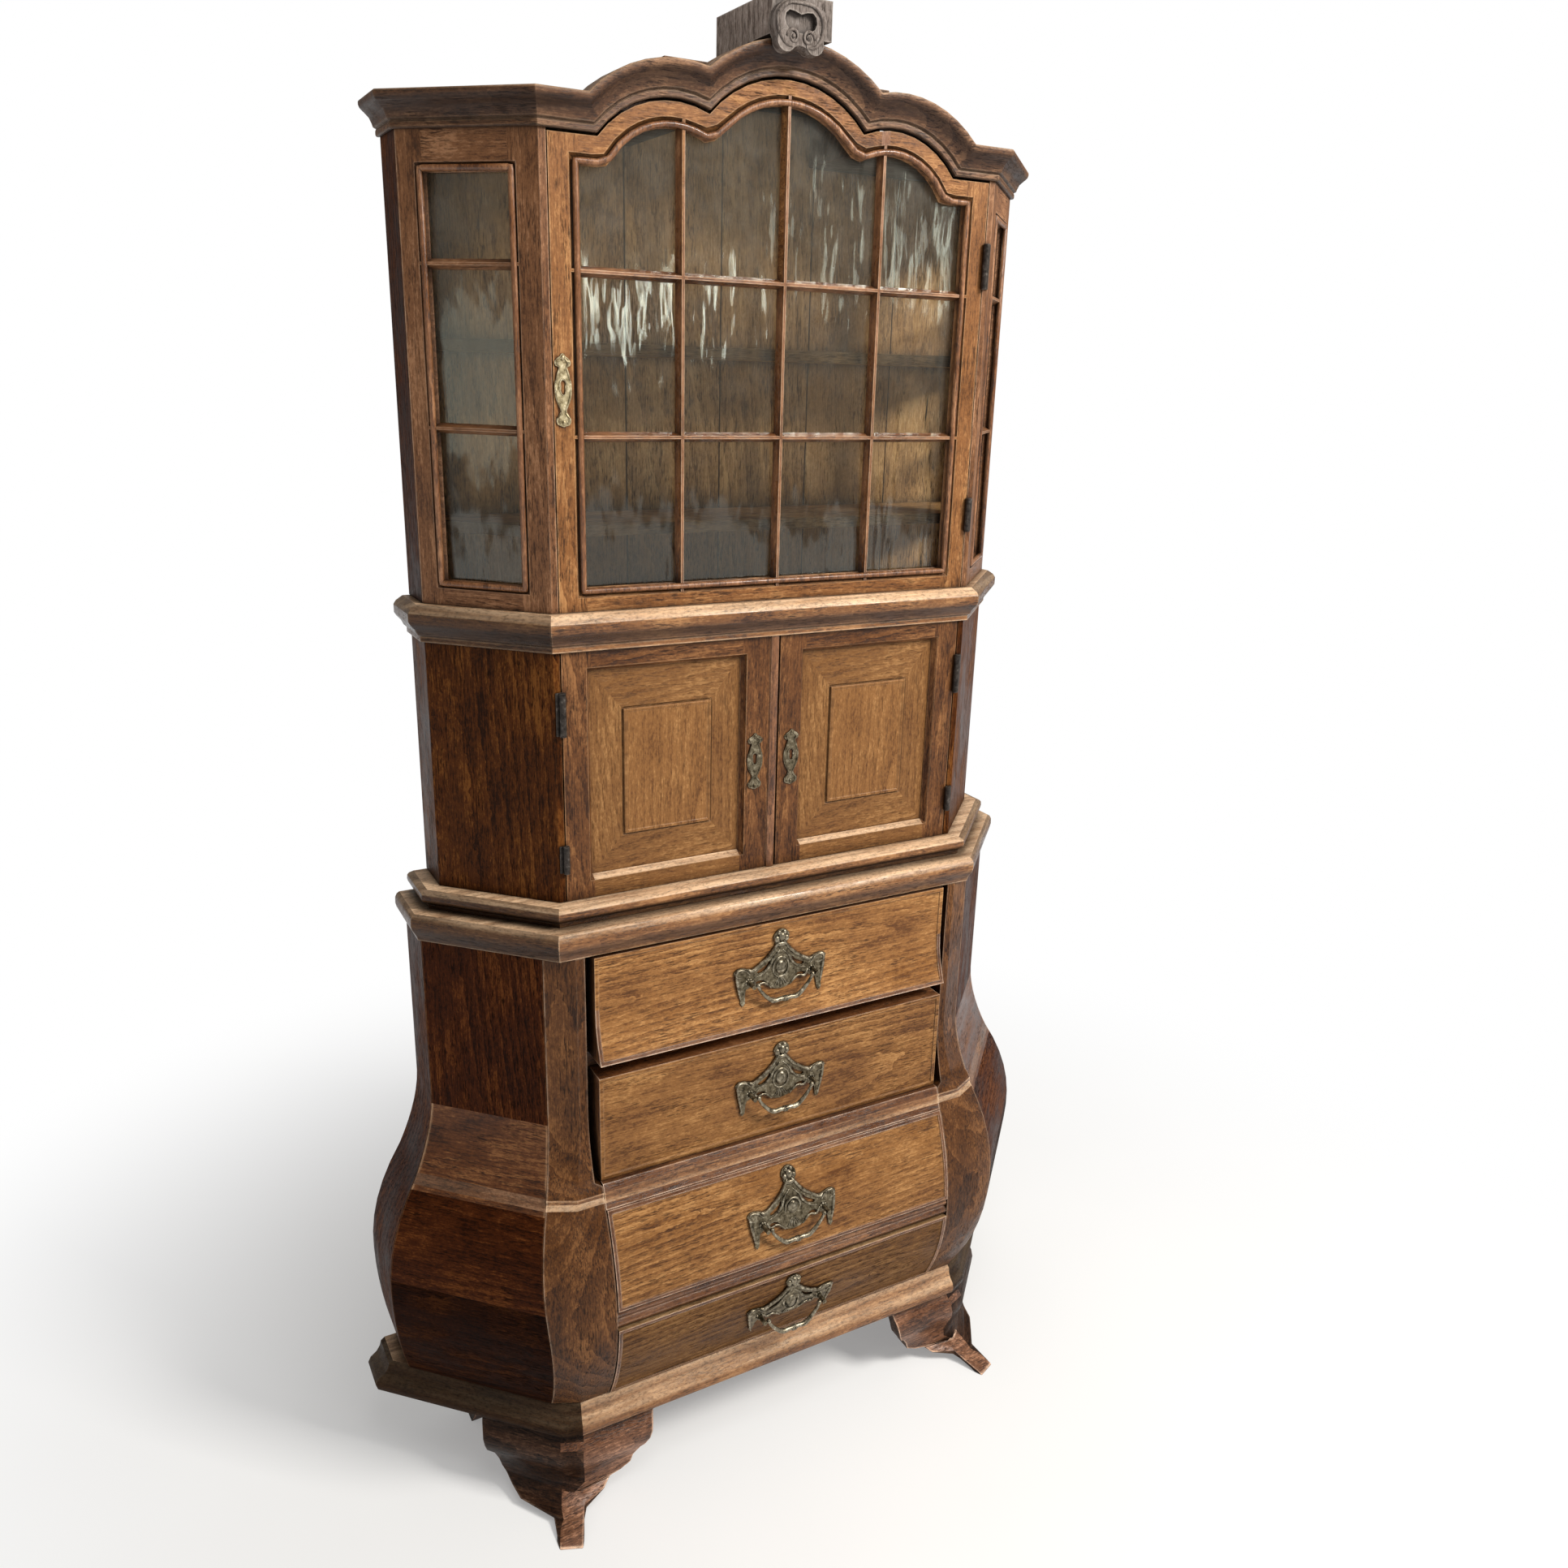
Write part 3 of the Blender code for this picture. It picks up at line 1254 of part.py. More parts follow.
def cornice_path(grow, reach):
    """One line of the cornice's moulding, from the back left round the front to the back right."""
    z = CORNICE_UNDER + grow
    side_x = SIDE_X + reach
    left = [(-side_x, CASE_DEPTH, z), (-side_x, CANT_RUN - reach * TAN_MITRE, z)]
    left.append((-FRONT_HALF - reach * TAN_MITRE, -reach, z))
    front = [(x, -reach, height) for x, height in arch_points(grow)]
    return left + front + [(-x, y, height) for x, y, height in reversed(left)]


def cornice():
    """The moulding swept round the canted front, arched over the door."""
    profile = [(CORNICE_HEIGHT * up, CORNICE_REACH * out) for up, out in CORNICE_SHARES]
    profile = [(profile[0][0], GAP)] + profile + [(profile[-1][0], GAP)]
    lines = [cornice_path(grow, reach) for grow, reach in profile]
    shape = bmesh.new()
    loft(shape, [list(section) for section in zip(*lines)])
    new_object("cornice", shape, WOOD)


def crest():
    """Scrolled crest in front of the cornice's peak, with the plain block that holds it."""
    half = CREST_HALF
    tall = CREST_TOP - CREST_LOW
    right = [(x * half, CREST_LOW + z * tall) for x, z in CREST_SHARES]
    outline = smooth_loop(right + [(-x, z) for x, z in reversed(right[1:])], CREST_SMOOTH)
    face_y = -CORNICE_REACH - STEP - CREST_THICK
    middle_z = (CREST_LOW + CREST_TOP) / 2
    rings = []
    for y, inset in ((face_y + CREST_THICK, 0.0), (face_y + CREST_ROUND, 0.0), (face_y, CREST_ROUND)):
        shrink = 1 - inset / half
        rings.append([(CREST_X + x * shrink, y, middle_z + (z - middle_z) * shrink) for x, z in outline])
    shape = bmesh.new()
    loft(shape, rings)
    piece = new_object("crest", shape, WOOD)
    hollow_right = [(x * half, CREST_LOW + z * tall) for x, z in HOLLOW_SHARES]
    hollow_outline = hollow_right + [(-x, z) for x, z in reversed(hollow_right[1:-1])]
    hollow = flat_outline("crest_hollow", [hollow_outline], HOLLOW_DEPTH + OVERRUN)
    bmesh.ops.translate(hollow, verts=hollow.verts, vec=(CREST_X, face_y - OVERRUN, 0))
    combine(piece, new_tool("crest_hollow_cutter", hollow), "DIFFERENCE")
    volutes = bmesh.new()
    volute_long = CREST_THICK + STEP
    volute_x = half - VOLUTE_RADIUS * VOLUTE_INSET_SHARE
    for x in (-volute_x, volute_x):
        centre = (CREST_X + x, face_y + volute_long / 2 - SINK, CREST_LOW + VOLUTE_RADIUS)
        rod(volutes, VOLUTE_RADIUS, centre, volute_long - SINK, "Y", VOLUTE_SIDES)
    combine(piece, new_tool("crest_volutes", volutes), "UNION")
    block = bmesh.new()
    over_cornice = CENTRE_LOBE_Z + CENTRE_LOBE_RADIUS + CORNICE_HEIGHT + GAP
    step_y = FRIEZE_THICK + GAP
    front_y = -CORNICE_REACH - SINK
    profile = [(front_y, over_cornice), (step_y, over_cornice), (step_y, ROOF_TOP_Z + GAP)]
    profile += [(BLOCK_DEPTH, ROOF_TOP_Z + GAP), (BLOCK_DEPTH, BLOCK_TOP), (front_y, BLOCK_TOP)]
    loft(block, [[(x, y, z) for y, z in profile] for x in (-BLOCK_HALF, BLOCK_HALF)])
    combine(piece, new_tool("crest_block", block), "UNION")


def glass_line(x, grow):
    """The arched head of the door's glass at x, with rounded valleys, grown outwards."""
    side = arch_height(abs(x) - SIDE_LOBE_X, SIDE_LOBE_Z, SIDE_LOBE_RADIUS - GLASS_DROP + grow)
    centre = arch_height(x, CENTRE_LOBE_Z, CENTRE_LOBE_RADIUS - GLASS_DROP + grow)
    blend = max(VALLEY_ROUND - abs(side - centre), 0.0) / VALLEY_ROUND
    arches = max(side, centre) + blend**2 * VALLEY_ROUND / 4
    return max(arches, GLASS_STRAIGHT_TOP + grow)


def arch_height(across_x, centre_z, radius):
    return centre_z + math.sqrt(max(radius**2 - across_x**2, 0.0))


def door_point(x, depth, z):
    return (x, depth, z)


def glazed_slab(shape, grow, front_depth, back_depth):
    """The glass's outline, grown into the frame, between two depths."""
    half = GLASS_HALF + grow
    outline = [(-half, GLASS_LOW - grow), (half, GLASS_LOW - grow)]
    outline += [(x, glass_line(x, grow)) for x in between(half, -half, 4 * PANE_STEPS)]
    across(shape, outline, front_depth, back_depth)


def glazed_door_frame():
    """The display case's door: an arched frame with twelve panes between rounded muntins."""
    low = MID_TOP + DOOR_CLEAR
    head = arch_points(-DOOR_UNDER_CORNICE)
    shoulder = CORNICE_UNDER - DOOR_UNDER_CORNICE
    outline = [(DOOR_HALF, low), (-DOOR_HALF, low), (-DOOR_HALF, shoulder)] + head + [(DOOR_HALF, shoulder)]
    shape = bmesh.new()
    across(shape, outline, 0.0, DOOR_THICK)
    piece = new_object("glazed_door_frame", shape, WOOD, (PIN_X, PIN_Y, low))
    columns = [-GLASS_HALF, *DOOR_MUNTIN_XS, GLASS_HALF]
    rows = [GLASS_LOW, *DOOR_MUNTIN_ZS, GLASS_STRAIGHT_TOP]
    cutters = bmesh.new()
    for column in range(len(columns) - 1):
        for row in range(len(rows) - 1):
            edges = (column == 0, column == len(columns) - 2, row == 0, row == len(rows) - 2)
            insets = [0.0 if edge else MUNTIN / 2 for edge in edges]
            flares = [DOOR_MOULDING if edge else MUNTIN_FLARE for edge in edges]
            corner = (columns[column] + insets[0], rows[row] + insets[2])
            opposite = (columns[column + 1] - insets[1], rows[row + 1] - insets[3])
            cut_pane(cutters, corner, opposite, flares, door_point, glass_line if edges[3] else None)
    combine(piece, new_tool("glazed_door_panes", cutters), "DIFFERENCE")
    rebate = bmesh.new()
    glazed_slab(rebate, REBATE, MUNTIN_DEPTH, DOOR_THICK + OVERRUN)
    combine(piece, new_tool("glazed_door_rebate", rebate), "DIFFERENCE")


def door_glass():
    shape = bmesh.new()
    front = MUNTIN_DEPTH + GAP
    glazed_slab(shape, REBATE - GAP, front, front + GLASS_THICK)
    new_object("door_glass", shape, PANE_GLASS, (PIN_X, PIN_Y, MID_TOP))


def cupboard_door(side):
    """A framed cupboard door; the left one carries the bead that covers the joint."""
    sign = -1 if side == "left" else 1
    meeting = -MEETING_LEFT if side == "left" else MEETING_RIGHT
    low = CUPBOARD_FLOOR + DOOR_CLEAR
    high = MID_UNDER - DOOR_CLEAR
    near, far = sorted((sign * meeting, sign * DOOR_HALF))
    shape = bmesh.new()
    box(shape, (near, 0.0, low), (far, DOOR_THICK, high))
    piece = new_object("cupboard_door_" + side, shape, WOOD, (sign * PIN_X, PIN_Y, low))
    opening = bmesh.new()
    inner, outer = sorted((sign * PANEL_INNER, sign * PANEL_OUTER))
    flares = [PANEL_MOULDING] * 4
    cut_pane(opening, (inner, PANEL_LOW), (outer, PANEL_HIGH), flares, door_point)
    combine(piece, new_tool(f"cupboard_{side}_opening", opening), "DIFFERENCE")
    rebate = bmesh.new()
    grow = PANEL_TONGUE + GAP
    low_corner = (inner - grow, PANEL_REBATE_DEPTH, PANEL_LOW - grow)
    box(rebate, low_corner, (outer + grow, DOOR_THICK + OVERRUN, PANEL_HIGH + grow))
    combine(piece, new_tool(f"cupboard_{side}_rebate", rebate), "DIFFERENCE")
    if side == "left":
        bead = bmesh.new()
        centre = ((BEAD_LEFT + MEETING_LEFT) / 2, 0.0, (low + high) / 2)
        rod(bead, (MEETING_LEFT - BEAD_LEFT) / 2, centre, high - low, "Z")
        flatten = BEAD_PROUD / ((MEETING_LEFT - BEAD_LEFT) / 2)
        bmesh.ops.scale(bead, verts=bead.verts, vec=(1, flatten, 1))
        combine(piece, new_tool("cupboard_meeting_bead", bead), "UNION")


def rectangle(low_x, high_x, low_z, high_z, grow, y):
    corners = [(low_x - grow, low_z - grow), (high_x + grow, low_z - grow)]
    corners += [(high_x + grow, high_z + grow), (low_x - grow, high_z + grow)]
    return [(x, y, z) for x, z in corners]


def cupboard_panel(side):
    """A raised and fielded panel held in the door's rebate."""
    sign = -1 if side == "left" else 1
    inner, outer = sorted((sign * PANEL_INNER, sign * PANEL_OUTER))
    field_inner, field_outer = sorted((sign * FIELD_INNER, sign * FIELD_OUTER))
    sight = (inner, outer, PANEL_LOW, PANEL_HIGH)
    field = (field_inner, field_outer, FIELD_LOW, FIELD_HIGH)
    tongue_y = PANEL_REBATE_DEPTH + GAP
    raised_y = tongue_y - FIELD_SLOPE
    rings = [rectangle(*sight, PANEL_TONGUE, tongue_y + PANEL_THICK)]
    rings += [rectangle(*sight, PANEL_TONGUE, tongue_y), rectangle(*sight, -STEP, tongue_y)]
    rings += [rectangle(*field, 0.0, raised_y)]
    rings += [rectangle(*field, -STEP, raised_y - FIELD_STEP)]
    shape = bmesh.new()
    loft(shape, rings)
    new_object("cupboard_panel_" + side, shape, WOOD_FRONT, (sign * PIN_X, PIN_Y, PANEL_LOW))


def escutcheon(name, place, material):
    """A pierced keyhole plate on a door's stile."""
    x, z, half, tall = place
    right = [(share_x * half, share_z * tall) for share_x, share_z in ESCUTCHEON_SHARES]
    outline = right + [(-px, pz) for px, pz in reversed(right[1:])]
    keyhole = [(share_x * half, share_z * tall) for share_x, share_z in KEYHOLE_SHARES]
    shape = flat_outline(name, [outline, keyhole], ESCUTCHEON_THICK)
    bmesh.ops.translate(shape, verts=shape.verts, vec=(x, -ESCUTCHEON_THICK - GAP, z))
    new_object(name, shape, material)


def hinge(name, sign, low, high):
    """An iron knuckle on its pin, with the leaf fixed to the case."""
    shape = bmesh.new()
    middle = (low + high) / 2
    rod(shape, KNUCKLE_RADIUS, (sign * PIN_X, PIN_Y, middle), high - low, "Z")
    piece = new_object(name, shape, METAL_IRON, (sign * PIN_X, PIN_Y, low))
    leaf = bmesh.new()
    inner, outer = sorted((sign * PIN_X, sign * (PIN_X + LEAF_WIDE)))
    box(leaf, (inner, -GAP - LEAF_THICK, low + STEP), (outer, -GAP, high - STEP))
    combine(piece, new_tool(name + "_leaf", leaf), "UNION")


def build_chest():
    chest_base()
    chest_top()
    chest_back()
    rails()
    for side in ("left", "right"):
        corner_post(side)
        chest_cant(side)
        chest_return(side)
        front_foot(side)
        rear_foot(side)
    for index in range(len(DRAWER_LOWS)):
        drawer(index)
        handle_plate(index)
        bail(index)


def build_upper_case():
    upper_base()
    mid_board()
    upper_back()
    roof_board()
    frieze()
    cornice()
    crest()
    for side in ("left", "right"):
        cupboard_side(side)
        window_frame(side)
        side_glass(side)
        upper_return(side)
    for name, top in zip(("shelf_lower", "shelf_upper"), SHELF_TOPS):
        shelf(name, top)


def build_doors():
    glazed_door_frame()
    door_glass()
    escutcheon("escutcheon_glazed", GLAZED_KEY, METAL_BRASS)
    for side, key in zip(("left", "right"), CUPBOARD_KEYS):
        cupboard_door(side)
        cupboard_panel(side)
        escutcheon("escutcheon_" + side, key, METAL_BRONZE)
    for level, ends in zip(("lower", "upper"), GLAZED_HINGES):
        hinge("hinge_glazed_" + level, 1, *ends)
    for level, ends in zip(("lower", "upper"), CUPBOARD_HINGES):
        hinge("hinge_left_" + level, -1, *ends)
        hinge("hinge_right_" + level, 1, *ends)


build_chest()
build_upper_case()
build_doors()
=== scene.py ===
"""The cabinet on chest dressed as it looks: aged oak, worn mouldings, cast handles and old glass."""

import json
import math

import bmesh
import bpy
from mathutils import Matrix, Vector

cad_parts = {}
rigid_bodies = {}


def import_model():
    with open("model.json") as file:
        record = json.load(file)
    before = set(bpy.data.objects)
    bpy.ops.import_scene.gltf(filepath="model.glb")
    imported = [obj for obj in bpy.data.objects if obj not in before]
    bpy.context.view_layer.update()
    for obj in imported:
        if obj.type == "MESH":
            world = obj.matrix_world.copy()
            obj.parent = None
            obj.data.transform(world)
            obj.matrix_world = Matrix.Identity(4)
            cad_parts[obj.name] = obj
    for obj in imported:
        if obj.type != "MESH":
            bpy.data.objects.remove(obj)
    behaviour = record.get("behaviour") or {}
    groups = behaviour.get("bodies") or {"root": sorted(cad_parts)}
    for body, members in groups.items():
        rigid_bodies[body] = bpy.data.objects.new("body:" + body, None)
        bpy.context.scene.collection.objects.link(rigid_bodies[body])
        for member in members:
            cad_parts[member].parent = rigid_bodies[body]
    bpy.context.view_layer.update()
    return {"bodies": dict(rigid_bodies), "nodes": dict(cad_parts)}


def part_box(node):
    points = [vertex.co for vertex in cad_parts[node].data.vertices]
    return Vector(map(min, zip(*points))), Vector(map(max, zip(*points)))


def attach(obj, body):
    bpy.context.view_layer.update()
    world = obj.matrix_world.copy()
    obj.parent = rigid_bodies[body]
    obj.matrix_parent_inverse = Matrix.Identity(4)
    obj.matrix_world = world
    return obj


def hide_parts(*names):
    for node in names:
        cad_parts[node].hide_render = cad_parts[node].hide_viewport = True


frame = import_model()

FRONT_Y = -0.025
ROOF_SIDE_UNDER = 1.9727
SIDES = {"left": -1, "right": 1}
UPRIGHT = Vector((0, 0, 1))
ALONG = Vector((1, 0, 0))
DEEP = Vector((0, 1, 0))
WELD = 1e-5
FLAT_ANGLE = math.radians(1.0)
SOFT_ANGLE = math.radians(32)
EDGE_ROUND = 0.0009

# Where the doors, windows and panels lie, as in the solids
DRAWERS = (1, 2, 3, 4)
DOOR_GLASS_HALF = 0.2814
MUNTIN_XS = (-0.146, 0, 0.146)
MUNTIN_HALF = 0.0066
WINDOW_START = 0.040
WINDOW_END = 0.152
PANEL_INNER = 0.0515
PANEL_OUTER = 0.278
FRONT_HALF = 0.33
# The raised work on the fittings
CAST_SOFT = math.radians(60)
CAP_SHARE = 0.7
SPIRAL_CLOSE = 0.82
PLATE_CLEAR_OF_POSTS = 0.045
POST_SHARE = 0.69
POST_HIGH = 0.32
PETALS = 7
PETAL_REACH = 0.0048
PETAL_SIZE = 0.0024
PETAL_PROUD = 0.0022
BAR_RADII = (0.0014, 0.0026, 0.0030, 0.0024, 0.0032, 0.0016)
INNER_BAR_RADII = (0.0010, 0.0020, 0.0024, 0.0018, 0.0010)
LEG_RADII = (0.0020, 0.0028, 0.0020, 0.0008)
LEAF_RADII = (0.0012, 0.0022, 0.0016, 0.0022, 0.0010)
# Half of a backplate's raised work, as shares of its half width and of its height
PLATE_LINES = {
    "bar": (((0.05, 0.83), (0.13, 0.75), (0.26, 0.64), (0.44, 0.55), (0.62, 0.475), (0.70, 0.50)), BAR_RADII),
    "inner_bar": (((0.03, 0.70), (0.17, 0.60), (0.24, 0.50), (0.40, 0.40), (0.56, 0.37)), INNER_BAR_RADII),
    "leg": (((0.96, 0.44), (0.93, 0.33), (0.90, 0.20), (0.85, 0.03)), LEG_RADII),
    "wing": (((0.66, 0.42), (0.78, 0.50), (0.93, 0.51), (0.95, 0.43), (0.84, 0.40)), INNER_BAR_RADII),
    "leaf": (((0.60, 0.33), (0.52, 0.25), (0.40, 0.27), (0.30, 0.24), (0.20, 0.17)), LEAF_RADII),
}
# Its bosses: where they sit, then their half width, half height and rise in metres
CROWN_LEAVES = ((0.10, 0.865, 0.0046, 0.0056, 0.0038), (0.055, 0.955, 0.0034, 0.0042, 0.0030))
CARTOUCHE_HIGH = 0.45
CARTOUCHE_RING = (0.0135, 0.0165)
CARTOUCHE_RADII = (0.0019, 0.0019)
PLATE_BOSSES = (
    (CARTOUCHE_HIGH, 0.0092, 0.0122, 0.0052),
    (0.895, 0.0058, 0.0078, 0.0056),
    (0.785, 0.0085, 0.0042, 0.0036),
)
FAN_REACHES = (0.035, 0.07)
FAN_RADII = (0.0007, 0.0016)
FAN_STEM_RADII = (0.0010, 0.0018)
BALL_RADIUS = 0.0040
BAIL_END_RADIUS = 0.0030
BAIL_GRIP_RADIUS = 0.0040
BAIL_RADII = (0.0024, 0.0026, 0.0034, 0.0042, 0.0036, 0.0038, 0.0036, 0.0042, 0.0034, 0.0026, 0.0024)
# The bail from an end to its middle, as shares of its half width and of its drop
BAIL_HALF = (
    (-1.0, 0.0),
    (-0.94, 0.24),
    (-0.74, 0.62),
    (-0.52, 0.92),
    (-0.36, 1.0),
    (-0.18, 0.97),
    (0.0, 1.0),
)
COLLAR_STEP = 0.0026
COLLAR_RADIUS = 0.0042
COLLAR_THICK = 0.0009
KEY_RADII = (0.0006, 0.0013, 0.0009, 0.0013, 0.0006)
KEY_LINES = (
    ((0.15, 0.44), (0.62, 0.37), (0.42, 0.31), (0.62, 0.22), (0.86, 0.10)),
    ((0.86, 0.04), (0.72, -0.10), (0.40, -0.22), (0.24, -0.30), (0.66, -0.38), (0.45, -0.45)),
)
KEY_BUD = (0.0018, 0.0024, 0.0016)
KEY_KNOPS = ((0.44, 0.0026, 0.0038, 0.0024), (-0.44, 0.0024, 0.0036, 0.0022))
KEYHOLE_HIGH = 0.05
KEYHOLE_WIDE = 0.46
KEYHOLE_TALL = 0.115
KEYHOLE_RADII = (0.0007, 0.0007)
# The crest's carving
CREST_X = -0.010
CREST_HALF = 0.036
CREST_LOW = 2.060
CREST_TOP = 2.118
CARVING_SINK = 0.0006
# Half of the crest's rim, as shares of its half width and height
CREST_RIM = ((0.0, 0.93), (0.50, 0.90), (0.82, 0.72), (0.88, 0.50), (0.74, 0.27), (0.52, 0.14), (0.30, 0.12))
VOLUTE_EYE = 0.30
EYE_SIZE = (0.0026, 0.0026, 0.0030)
VOLUTE_RADIUS = 0.0085
VOLUTE_TURNS = 1.6
VOLUTE_RADII = (0.0022, 0.0018, 0.0010)
RIM_RADII = (0.0016, 0.0024, 0.0030, 0.0030, 0.0024, 0.0016)
# Mitres, sills, beads, planks and the fields of the panels
CANT_MITRE = 0.414
PLINTH_MITRE = 0.201
CREST_BLOCK_FRONT = -0.0500
PANEL_SILL_TOP = 1.022
SILL_UPWARD = 0.3
GLASS_LAP = 0.0057
FRAME_BEAD_RADIUS = 0.0040
FRAME_BEAD_SUNK = 0.0008
MEETING_BEAD_TOUCH = 0.0002
PLANK_SOCKETS = {
    "Boards": "Int",
    "Width": "Float",
    "Thick": "Float",
    "Tall": "Float",
    "Gap": "Float",
    "Seed": "Int",
    "Wood": "Material",
}
PLANK_STEP = 0.002
PLANK_GAP = 0.0012
FIELD_BORDER = 0.0530
FIELD_SILL = 0.0600
FIELD_HEAD = 0.0615
PANEL_TONGUE = 0.006
BORDER_LOW = 0.0070
# Heights at which the curved pieces of a canted corner meet, and between which its crease is rubbed pale and
# painted with a highlight
CANT_SEAMS = (0.65, 0.525, 0.39)
CREASE_BAND = (0.532, 0.5475)
CURVE_SOFT = math.radians(24)
BEAD_WIDE = 0.0062
DRAWER_FRONT_THICK = 0.026
DRAWER_SIDE_THICK = 0.03
# Heights between which the glazed door's upright and cross bars lie, and that part lower from upper rails
UPRIGHT_BARS = (1.41, 1.93)
CROSS_BARS = (1.43, 1.83)
DOOR_MIDDLE = 1.5
WINDOW_MIDDLE = 1.6
FOOT_SIDEWAYS = 0.3
CHEST_PLANKS = 6
THIRD_PLANKS = 2
# How far the photograph's view is turned, tipped and leaned, in degrees
CAMERA_ANGLES = (29.643, 18.061, -1.7139)
CAMERA_PLACE = Vector((-0.8605, -1.5733, 1.6937))
CAMERA_LENS = 29.03
WORLD_LEVEL = 0.28
KEY_LAMP = {"place": (2.0, -2.7, 3.7), "target": (0, 0, 1.0), "width": 1.2, "height": 1.2, "power": 200}
KEY_COLOUR = (1.0, 0.97, 0.92)
TOP_LAMP = {"place": (-0.2, -1.6, 3.9), "target": (0, -0.1, 1.2), "width": 1.8, "height": 1.2, "power": 26}
TOP_COLOUR = (1.0, 0.99, 0.97)
GLOW_COLOUR = (0.96, 1.0, 0.9)
GLASS_CENTRE = (-0.2, 0, 1.75)
GLOW_CARDS = {
    "window_left": ((1.02, -3.0, 1.88), 0.20, 0.26, 2.0),
    "window_right": ((2.30, -3.0, 2.16), 0.22, 0.40, 1.1),
    "wall_left": ((-3.3, -0.79, 1.62), 1.4, 0.5, 2.2),
}
# Where the middle of each board's tree lies, in metres; x is mirrored for boards on the left
TREES = {
    "door_stile": (0.35, 0.05, 1.3),
    "door_rail_lower": (0.15, 0.04, 1.34),
    "door_rail_upper": (0.15, 0.04, 1.97),
    "window_rail_lower": (0.4, 0.0, 1.36),
    "window_rail_upper": (0.4, 0.0, 1.98),
    "meeting_bead": (0.02, 0.03, 1.1),
    "meeting_stile": (0.05, 0.03, 1.1),
    "hanging_stile": (0.34, 0.05, 1.2),
    "panel_rail_lower": (0.2, 0.03, 0.94),
    "panel_rail_upper": (0.2, 0.03, 1.37),
    "post_upper": (0.30, 0.02, 0.8),
    "post_crease": (0.3, 0.05, 0.5),
    "post_lower": (0.36, -0.02, 0.3),
    "rail_ridge": (0.1, 0.05, 0.5),
    "rail_crease": (-0.2, 0.02, 0.56),
    "cant_upright": (0.43, 0.09, 0.8),
    "cant_slope": (0.40, 0.008, 0.66),
    "cant_crease": (0.40, 0.008, 0.60),
    "cant_belly": (0.40, 0.008, 0.52),
    "cant_bottom": (0.40, 0.008, 0.36),
}
# The same, counted from the middle of the board
BOARD_TREE = (0.02, 0.09, 0.03)
CREST_TREE = (0.02, 0.09, 0.0)
DRAWER_TREES = {1: (0.06, 0.030, 0.020), 2: (0.4, 0.055, -0.01), 3: (-0.08, 0.028, 0.03), 4: (0.2, 0.03, 0.0)}
# The scales of the patterns in wood, across its fibres twice and then along them, and in glass
SWAY_SCALE = (6, 6, 1.8)
SWAY_REACH = 0.024
RINGS_PER_METRE = 26.0
RING_LEAN = (0.06, 0.05, 0)
FIBRE_SCALE = (420, 420, 15)
CLOUD_SCALE = (16, 16, 8)
PORE_SCALE = (520, 520, 58)
SPECKLE_SCALE = (280, 280, 130)
CROWD_SCALE = (34, 34, 9)
FADE_SCALE = (4, 4, 1.5)
TOP_STREAK_SCALE = (75, 75, 5)
PATCH_SCALE = (37, 37, 37)
RIPPLE_SCALE = (17, 17, 4)
# How far into corners, and how strongly, wood is darkened as soiling and painted shade
GRIME_AND_SHADE_REACH = 0.024
GRIME_AND_SHADE_SHARE = 0.8
FIBRE_SHARE = 1.35
CLOUD_SHARE = 1.7
SPECKLE_SHARE = 1.4
PORE_SHARE = 0.85
# Edge wear for mouldings and cornice, with their tops rubbed pale and painted with a highlight, and their
# undersides painted dark as shade
MOULDING_WEAR_AND_LIGHT = {"wear": 0.9, "figure": 0.15, "rough": 0.32, "edge_reach": 0.005, "weathered": 0.85}
CORNICE_WEAR_AND_LIGHT = {"wear": 0.8, "edge_reach": 0.005, "weathered": 0.7}
# The field's moulded edge: how far in from the field's rim and how far behind its face
FIELD_EDGE = (
    (-0.0026, 0.0032),
    (-0.0010, 0.0042),
    (0.0000, 0.0040),
    (0.0000, 0.0014),
    (0.0009, 0.0004),
    (0.0024, 0.0000),
    (0.0042, 0.0004),
    (0.0052, 0.0012),
    (0.0070, 0.0012),
)


def feed(tree, value, socket):
    """Joins an output to a socket, or fills the socket with a plain value."""
    if isinstance(value, bpy.types.NodeSocket):
        tree.links.new(value, socket)
    else:
        socket.default_value = value


def node_in(tree, kind, inputs=(), **settings):
    """A new node in a tree, with its settings made and its inputs fed."""
    made = tree.nodes.new(kind)
    for key, value in settings.items():
        setattr(made, key, value)
    for key, value in dict(inputs).items():
        feed(tree, value, made.inputs[key])
    return made


